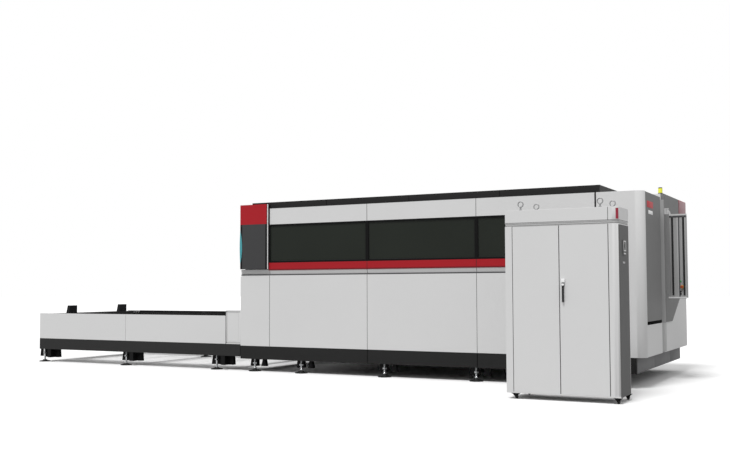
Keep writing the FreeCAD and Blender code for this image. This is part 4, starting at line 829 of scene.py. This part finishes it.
def cabinet_lines():
    """The doors' seals and the rails and grooves that run round the cabinet, with painted shade in
    the groove below the hood and dark lines of painted shade along its edges.
    """
    for side in ("left", "right"):
        low, high = box("cabinet_door_" + side)
        y0, z0, z1 = low.y - SEAL_PROUD, low.z + INSET, high.z - INSET
        split = high.x - SPLIT_SEAL if side == "left" else low.x
        seal = Build()
        seal.bar((split, y0, z0), (split + SPLIT_SEAL, low.y, z1), edge=0.0003)
        if side == "left":
            seal.bar((low.x + 0.0003, y0, z0), (low.x + SEAL_WIDTH, low.y, z1), edge=0.0003)
        seal.done("door_seal_" + side, "cabinet_door_" + side, "black_plastic")

    hood_low, hood_high = box("cabinet_hood")
    front = hood_low.y

    def ring(build, z0, z1, deep, thick):
        """A flat ring that follows the front and the rounded corner."""
        def path(d):
            back = hood_high.y - 0.010
            return [(hood_low.x + d, back), (hood_low.x + d, front + d),
                    *corner_arc(CORNER - d, 0, 90, 12), (hood_high.x - d, back)]
        build.slab(path(deep) + path(deep + thick)[::-1], z0, z1, "Z")

    lines, middle, rail, base = Build(), Build(), Build(), Build()
    door_low, door_high = box("cabinet_door_right")
    rail_top = door_high.z + RAIL_HIGH
    lip = hood_low.z + HOOD_LIP
    ring(rail, door_high.z + RAIL_LOW, rail_top, *RAIL_RING)
    # painted shade: dark lines along the groove's edges and a grey band in it
    ring(lines, rail_top, rail_top + LINE_HIGH, *LOW_LINE_RING)
    ring(middle, rail_top + LINE_HIGH, hood_low.z - 0.0004, *GROOVE_RING)
    ring(middle, hood_low.z + 0.0002, lip, *LIP_RING)
    ring(lines, lip, lip + LINE_HIGH, *HIGH_LINE_RING)
    ring(base, BASE_LOW, BASE_HIGH, *BASE_RING)
    seam = door_high.x + 0.0018
    lines.bar((seam, front - SEAM_PROUD, door_low.z + INSET),
              (door_high.x + 0.0072, front + 0.001, door_high.z - INSET), edge=0.0002)
    lines.bar((seam, front - SEAM_PROUD, hood_low.z + 0.002),
              (door_high.x + 0.0066, front + 0.0005, hood_high.z - 0.002), edge=0.0002)
    lines.done("cabinet_shade_and_seam_lines", "machine", "black_plastic")
    middle.done("hood_groove_shade_band", "machine", "groove_light", "light_paint")
    rail.done("door_drip_rail", "machine", "light_paint")
    base.done("cabinet_base_rail", "machine", "light_paint")


def cabinet_corner():
    """The side panel's sheet, dark paint lightened with painted reflection, drawn round the corner,
    and the red strip on the hood's corner.
    """
    hood_low, hood_high = box("cabinet_hood")
    side = hood_high.x
    panel_low, panel_high = parts_of("cabinet_side_panel")[0]
    foot = BASE_LOW - 0.0001
    # the wrap carries the side panel's painted reflection round the corner
    wrap = Build()
    skin = corner_arc(CORNER + WRAP_PROUD, 64, 90, 8) + [(side + WRAP_PROUD, panel_low.y + INSET)]
    core = corner_arc(CORNER - INSET, 64, 90, 8) + [(side - INSET, panel_low.y + INSET)]
    wrap.slab(skin + core[::-1], foot, panel_high.z, "Z")
    wrap.bar((side - INSET, panel_low.y, foot), (side + WRAP_PROUD, panel_high.y, panel_low.z),
             edge=0.0003)
    wrap.done("side_panel_wrap", "machine", "side_grey", "dark_paint")

    outside = corner_arc(CORNER + RED_PROUD, 36, 68, 8)
    inside = corner_arc(CORNER * 0.995, 36, 68, 8)
    strip = Build().slab(outside + inside[::-1], hood_low.z + 0.015, hood_high.z - 0.014, "Z")
    strip.done("hood_corner_strip", "machine", "strip_red", "red_paint")


def cabinet_fittings():
    """Lifting eyes, the small controller on the side and the door's swing handle."""
    eyes = Build()
    for low, high in parts_of("lifting_eyes"):
        x, y, _ = middle_of(low, high)
        eyes.hoop((x, y, high.z - EYE_BELOW_TOP), EYE_RADIUS, EYE_WIRE)
        eyes.turn([(0, 0), (0.0165, 0), (0.017, 0.001), (0.017, 0.006), (0.0155, 0.0075),
                   (0.010, 0.009), (0.0085, 0.016), (0.010, 0.029), (0.006, 0.0335), (0, 0.034)],
                  (x, y, low.z), sides=28)
    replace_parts(eyes.done("forged_lifting_eyes", "machine", "eye_steel", "plated_steel"),
                "lifting_eyes")

    (_, panel_high), (low, high) = parts_of("cabinet_side_panel")
    face = high.x
    light = Build()
    light.border((face, low.y + 0.002, low.z + 0.034),
                 (face + 0.002, high.y - 0.002, high.z - 0.002), 0.012, axis="X", edge=0.0006)
    light.bar((face, low.y + 0.006, low.z + 0.004),
              (face + 0.0016, high.y - 0.006, low.z + 0.018), edge=0.0004)
    z = low.z - MARK_DROP
    for n in range(2):
        y = low.y + 0.016 + n * MARK_PITCH
        light.bar((panel_high.x, y, z), (panel_high.x + 0.004, y + 0.026, z + 0.018), edge=0.0008)
    light.done("controller_marks", "machine", "light_paint")
    knob = [(0, 0.0035), (0.015, 0.0035), (0.018, 0.002), (0.018, 0), (0, 0)]
    Build().turn(knob, (face, low.y + 0.042, high.z - 0.054), sides=28, axis="X").done(
        "controller_knob", "machine", "black_plastic")

    low, high = box("handle_plate")
    Build().bar((low.x - 0.003, low.y - 0.0105, high.z - 0.040),
                (high.x + 0.003, low.y + 0.0005, high.z - 0.0015), edge=0.0025).done(
        "handle_head", "cabinet_door_right", "bright_trim", "light_paint")
    low, high = box("handle_lever")
    boss = [(0, -0.0006), (0.0105, -0.0006), (0.0125, 0.001), (0.0125, 0.0085), (0, 0.0085)]
    Build().turn(boss, ((low.x + high.x) / 2, low.y, high.z - 0.018), sides=36, axis="Y").done(
        "handle_boss", "handle_lever", "bright_trim", "light_paint")


cabinet_lines()
cabinet_corner()
cabinet_fittings()


TRAIL = 0.018
AXLE_BORE = 0.0046
FORK_OUTSIDE = 0.0145


def caster(n):
    """One swivelling caster: tyre, hub, axle nuts, bearing with its brake pedal, top plate."""
    low, high = box(f"caster_wheel_{n}")
    centre = middle_of(low, high)
    half = (high.x - low.x) / 2
    r = (high.z - low.z) / 2
    flank = (r * 0.62, -half * 0.8)
    tread = both_ways([flank, (r * 0.86, -half * 0.8), (r * 0.90, -half),
                       (r * 0.97, -half * 0.72), (r, -half * 0.3)])
    tyre = Build().turn(tread + [flank], centre, sides=48, axis="X")
    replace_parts(tyre.done(f"caster_tyre_{n}", f"caster_wheel_{n}", "foot_rubber"),
                f"caster_wheel_{n}")
    hub = both_ways([(AXLE_BORE, -half * 0.9), (r * 0.36, -half * 0.9),
                     (r * 0.40, -half * 0.6), (r * 0.62, -half * 0.5)])
    Build().turn(hub, centre, sides=36, axis="X").done(
        f"caster_hub_{n}", f"caster_wheel_{n}", "plated_steel")
    caps = Build()
    for way in (-1, 1):
        caps.turn([(0.0034, 0), (0.0066, 0), (0.0072, way * 0.0008), (0.0072, way * 0.0026),
                   (0.005, way * 0.0036), (0, way * 0.0038)],
                  (centre[0] + way * FORK_OUTSIDE, centre[1], centre[2]), sides=6, axis="X")
    caps.done(f"caster_axle_nuts_{n}", f"caster_fork_{n}", "plated_steel", crease=20.0)

    low, high = box(f"caster_fork_{n}")
    x, y, top = (low.x + high.x) / 2, centre[1] - TRAIL, high.z
    race = Build()
    race.turn([(0, 0), (0.024, 0), (0.031, 0.0015), (0.033, 0.0035), (0.031, 0.0065),
               (0, 0.0065)], (x, y, top - 0.0066), sides=36)
    pedal = [(y + 0.028, top - 0.008), (y + 0.036, top - 0.0055), (y + 0.070, top - 0.0115),
             (y + 0.071, top - 0.0145), (y + 0.036, top - 0.0085), (y + 0.028, top - 0.0094)]
    race.slab(pedal, x - 0.018, x + 0.018, "X")
    for way in (-1, 1):
        x0, x1 = sorted((x + way * 0.0147, x + way * 0.0178))
        race.bar((x0, y + 0.008, top - 0.014), (x1, y + 0.032, top - 0.006), edge=0.0006)
    skirt = [(top - 0.002, x - 0.029), (top - 0.002, x + 0.029), (top - 0.012, x + 0.027),
             (top - 0.024, x + 0.021), (top - 0.027, x - 0.006), (top - 0.016, x - 0.020)]
    race.slab(skirt, y - 0.015, y - 0.0115, "Y")
    race.done(f"caster_race_{n}", f"caster_fork_{n}", "black_paint")
    plate = Build().bar((x - 0.038, y - 0.034, BASE_LOW - 0.0068),
                        (x + 0.038, y + 0.031, BASE_LOW - 0.0003), edge=0.0012)
    plate.done(f"caster_plate_{n}", "machine", "black_paint")


for n in range(1, 5):
    caster(n)


# ------------ cabin
MARK_PROUD = 0.0015
WEB_IN = 0.020
LOW_CHANNEL_AT = (0.3, 0.6)  # the lower panel with the channel lies between these y


def cabin():
    """The door's blank plates, the slot below it with a black liner of painted shade, the tower's
    front, and the channels' liners, painted light in the high one and painted shade in the low one.
    """
    low, high = box("cabin_door")
    face = high.x
    for name, finish, slot, y0, y1, z0, z1 in (
            ("door_blank_plate", "mark_red", "red_paint", 0.075, 0.400, 0.170, 0.096),
            ("door_blank_strip", "bright_trim", "light_paint", 0.145, 0.375, 0.242, 0.200)):
        Build().bar((face, low.y + y0, high.z - z0), (face + MARK_PROUD, low.y + y1, high.z - z1),
                    edge=0.0006).done(name, "cabin_door", finish, slot)

    # painted shade: a black liner that darkens the slot below the door
    liner = Build()
    liner.bar((face - 0.085, low.y + 0.006, low.z - 0.038),
              (face - 0.050, high.y - 0.002, low.z - 0.0015), edge=0.001)
    liner.bar((face - 0.050, low.y + 0.010, low.z - 0.0385),
              (face - 0.015, high.y - 0.004, low.z - 0.033), edge=0.001)
    liner.bar((face - 0.0145, low.y + 0.006, low.z - 0.0385),
              (face - 0.0115, high.y - 0.002, low.z - 0.0015), edge=0.0005)
    liner.done("slot_shade_liner", "machine", "slot_black", "black_plastic")

    red_high = box("red_covers")[1]
    towers = parts_of("tower_panels")
    low, high = towers[-1]
    rose = Build().bar((red_high.x, low.y + 0.002, box("portal_sides")[1].z + 0.082),
                       (red_high.x + 0.001, high.y - 0.004, red_high.z - 0.012), edge=0.0004)
    rose.done("tower_rose_panel", "machine", "pale_rose", "red_paint")

    start, end = LOW_CHANNEL_AT
    dark = min(towers, key=lambda pair: pair[0].y)
    light = max(parts_of("lower_panels"), key=lambda pair: pair[0].y > start and pair[1].y < end)
    # painted light in the high channel, lighter than the tower's grey; painted shade in the low
    # channel, darker than the wall's paint
    for name, (deep, edge), bend, flange, finish, slot in (
            ("high_channel_lit_liner", dark, 0.040, 0.0, "channel_grey", "cabin_grey"),
            ("low_channel_shade_liner", light, 0.045, 0.108, "channel_light", "light_paint")):
        web = deep.x + WEB_IN
        z0, z1 = deep.z + INSET, edge.z - INSET
        side = [(web + 0.0004, deep.y + 0.004), (web + 0.0004, edge.y - bend + 0.0005),
                (edge.x + 0.0006, edge.y - 0.0005), (edge.x - INSET, edge.y - 0.0005),
                (web - INSET, edge.y - bend + 0.0008), (web - INSET, deep.y + 0.004)]
        sheet = Build().slab(side, z0, z1, "Z")
        if flange:
            sheet.bar((edge.x - INSET, edge.y + 0.0015, z0), (edge.x + 0.0006, edge.y + flange, z1),
                      edge=0.0003)
        sheet.done(name, "machine", finish, slot)


cabin()


RIB_PITCH = 0.006
RIB_START = 0.014
RIB_END = 0.026


def beacon():
    """The beacon's black foot and cap, two small screws and its ribbed yellow lens."""
    low, high = box("beacon")
    x, y, _ = middle_of(low, high)
    r = (high.x - low.x) / 2
    tall = high.z - low.z
    base, lens = Build(), Build()
    base.turn([(0, 0), (r - 0.001, 0), (r, 0.001), (r, 0.009), (r - 0.002, 0.011), (0, 0.011)],
              (x, y, low.z), sides=40)
    profile = [(0, 0.011), (r - 0.003, 0.011)]
    z = RIB_START
    while z < tall - RIB_END:
        profile += [(r - 0.0025, z), (r - 0.0045, z + RIB_PITCH / 2)]
        z += RIB_PITCH
    profile += [(r - 0.003, tall - 0.020), (r - 0.005, tall - 0.014), (0, tall - 0.0135)]
    lens.turn(profile, (x, y, low.z), sides=40)
    for way in (-1, 1):
        base.turn([(0, -0.004), (0.0035, -0.004), (0.0035, -0.0005), (0.0025, 0), (0, 0)],
                  (x + way * 0.012, y, high.z), sides=14)
    base.turn([(0, tall - 0.0142), (r - 0.0055, tall - 0.0142), (r - 0.005, tall - 0.006),
               (r - 0.0085, tall - 0.0015), (0, tall - 0.0006)], (x, y, low.z), sides=40)
    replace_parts(lens.done("beacon_ribbed_lens", "machine", "beacon_lens"), "beacon")
    base.done("beacon_base", "machine", "black_plastic")


beacon()


# ------------ console
BUTTON_RADIUS = 0.010
BUTTON_LEFT = 0.014
BUTTONS = (("console_lamp_green", 1.188, "lamp_green"),
           ("console_button_upper", 1.066, "black_plastic"),
           ("console_button_lower", 1.038, "black_plastic"))
# painted highlights along the folds of the front sheet: start and end beside a line, how proud, how
# far up
LEFT_FOLD = (-0.010, 0.0035, 0.0016, 0.006)
MIDDLE_FOLD = (0.037, 0.046, 0.0014, 0.170)
RIGHT_FOLD = (-0.022, -0.0125, 0.002, 0.006)


def console():
    """The console's folded front with painted highlights along its folds and painted shade along
    its top and beside its groove, its lamp and buttons and the emergency stop.
    """
    low, high = box("console_body")
    front = low.y
    middle = (low.x + high.x) / 2
    top = high.z - 0.023
    # painted shade: a dark bar along the console's top edge
    Build().bar((low.x + 0.003, front - 0.004, high.z - 0.022),
                (high.x - INSET, front + 0.002, high.z - 0.0005), edge=0.0015).done(
        "console_top_shade_bar", "console", "groove_grey", "console_grey")
    # painted shade: a dark strip beside the front's groove
    Build().bar((middle + 0.0045, front - 0.0006, low.z + 0.006),
                (middle + 0.0185, front + 0.0005, top), edge=0.0002).done(
        "console_groove_lining", "console", "groove_grey", "black_plastic")
    # painted highlights: light strips along the folds
    folds = Build()
    for line, (start, end, proud, up) in ((middle, LEFT_FOLD), (middle, MIDDLE_FOLD),
                                          (high.x, RIGHT_FOLD)):
        folds.bar((line + start, front - proud, low.z + up), (line + end, front + 0.0005, top),
                  edge=0.0006)
    folds.done("console_fold_highlights", "console", "fold_shade", "console_grey")

    low, high = box("e_stop")
    x, _, z = middle_of(low, high)
    wide = BUTTON_RADIUS
    button = [(0, -0.0085), (wide * 0.7, -0.0085), (wide * 0.86, -0.0072),
              (wide * 0.86, -0.0035), (wide, -0.003), (wide, 0), (0, 0)]
    for name, height, finish in BUTTONS:
        Build().turn(button, (x - BUTTON_LEFT, front, height), sides=28, axis="Y").done(
            name, "console", finish, "black_plastic")

    r = (high.x - low.x) / 2
    shaft = high.y - low.y - 0.0005
    mushroom = [(0, 0.0006), (r * 0.45, 0), (r * 0.85, 0.0015), (r, 0.005), (r, 0.010),
                (r * 0.82, 0.013), (0.0078, 0.0135), (0.0078, shaft), (0, shaft)]
    stop = Build().turn(mushroom, (x, low.y, z), sides=40, axis="Y")
    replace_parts(stop.done("e_stop_mushroom", "e_stop", "stop_red"), "e_stop")
    collar = [(0.0092, -0.004), (0.019, -0.004), (0.0205, -0.0028), (0.0205, 0), (0.0092, 0),
              (0.0092, -0.004)]
    Build().turn(collar, (x, front, z), sides=40, axis="Y").done(
        "e_stop_collar", "console", "collar_yellow", "stop_red")


console()


def mounting_bolts():
    """Hexagon heads on the end stops and on the console's bracket."""
    made = Build()
    for low, high in parts_of("end_stops"):
        for share in (0.25, 0.75):
            y = low.y + (high.y - low.y) * share
            made.turn([(0, -0.0045), (0.0085, -0.0045), (0.0095, -0.0035), (0.0095, 0), (0, 0)],
                      (low.x + 0.012, y, high.z), sides=6)
    low, high = box("console_bracket")
    for z in (low.z + 0.018, high.z - 0.018):
        for y in (low.y + 0.008, high.y - 0.008):
            made.turn([(0, 0.0015), (0.0045, 0.0015), (0.005, 0.001), (0.005, 0), (0, 0)],
                      (low.x + 0.022, y, z), sides=6, axis="X")
    made.done("mounting_bolts", "machine", "plated_steel", crease=20.0)


mounting_bolts()


# ------------ studio
WHITE = (1.0, 1.0, 1.0, 1.0)
WORLD_FILL = 0.68
FLOOR_GREY = (0.4, 0.4, 0.4, 1.0)
FLOOR_SPAN = 90.0
LAMP_STRENGTH = 1.95
LAMP_SPREAD = 18.0
LAMP_AIM = (0.04, 0.50, -0.86)


def studio():
    """Pale floor, white surroundings and one soft lamp."""
    world = bpy.data.worlds.new("studio")
    bpy.context.scene.world = world
    tree, (out, mix, path, fill, seen, first, second) = fresh(
        world, "OutputWorld", "MixShader", "LightPath", "Background", "Background", "Math", "Math")
    for background, strength in ((fill, WORLD_FILL), (seen, 1.0)):
        background.inputs[0].default_value = WHITE
        background.inputs[1].default_value = strength
    first.operation = second.operation = "MAXIMUM"
    tree.links.new(path.outputs["Is Camera Ray"], first.inputs[0])
    tree.links.new(path.outputs["Is Glossy Ray"], first.inputs[1])
    tree.links.new(first.outputs[0], second.inputs[0])
    tree.links.new(path.outputs["Is Transmission Ray"], second.inputs[1])
    for source, target in ((second, mix.inputs[0]), (fill, mix.inputs[1]), (seen, mix.inputs[2]),
                           (mix, out.inputs[0])):
        tree.links.new(source.outputs[0], target)

    mesh = bpy.data.meshes.new("studio_floor")
    span = FLOOR_SPAN
    mesh.from_pydata([(-span, -span, 0.0), (span, -span, 0.0), (span, span, 0.0),
                      (-span, span, 0.0)], [], [(0, 1, 2, 3)])
    floor = bpy.data.objects.new("studio_floor", mesh)
    bpy.context.scene.collection.objects.link(floor)
    mat = bpy.data.materials.new("mat_studio_floor")
    tree, (out, mix, path, real, seen) = fresh(
        mat, "OutputMaterial", "MixShader", "LightPath", "BsdfDiffuse", "BsdfDiffuse")
    real.inputs[0].default_value = FLOOR_GREY
    seen.inputs[0].default_value = WHITE
    tree.links.new(path.outputs["Is Camera Ray"], mix.inputs[0])
    for source, target in ((real, mix.inputs[1]), (seen, mix.inputs[2]), (mix, out.inputs[0])):
        tree.links.new(source.outputs[0], target)
    floor.data.materials.append(mat)

    data = bpy.data.lights.new("lamp_key", "SUN")
    data.energy = LAMP_STRENGTH
    data.angle = math.radians(LAMP_SPREAD)
    lamp = bpy.data.objects.new("lamp_key", data)
    lamp.rotation_mode = "QUATERNION"
    lamp.rotation_quaternion = Vector(LAMP_AIM).to_track_quat("-Z", "Y")
    bpy.context.scene.collection.objects.link(lamp)


studio()


CAMERA_AT = (6.769, -11.311, 1.130)
CAMERA_HEADING = 118.248
CAMERA_RISE = 3.01
CAMERA_ROLL = -0.192
CAMERA_LENS = 47.11
CAMERA_SENSOR = 36.0


def camera():
    """The photograph's own viewpoint: place, heading from +X, rise over the floor and roll."""
    data = bpy.data.cameras.new("camera")
    data.sensor_width = CAMERA_SENSOR
    data.lens = CAMERA_LENS
    data.clip_start = 0.05
    data.clip_end = 400.0
    cam = bpy.data.objects.new("camera", data)
    heading = math.radians(CAMERA_HEADING)
    rise = math.radians(CAMERA_RISE)
    ahead = Vector((math.cos(rise) * math.cos(heading), math.cos(rise) * math.sin(heading),
                    math.sin(rise)))
    level = ahead.cross(Vector((0, 0, 1))).normalized()
    right = Matrix.Rotation(math.radians(-CAMERA_ROLL), 3, ahead) @ level
    up = right.cross(ahead)
    turn = Matrix((right, up, -ahead)).transposed().to_4x4()
    cam.matrix_world = Matrix.Translation(CAMERA_AT) @ turn
    bpy.context.scene.collection.objects.link(cam)
    bpy.context.scene.camera = cam


camera()
bpy.context.scene.view_settings.view_transform = "Standard"
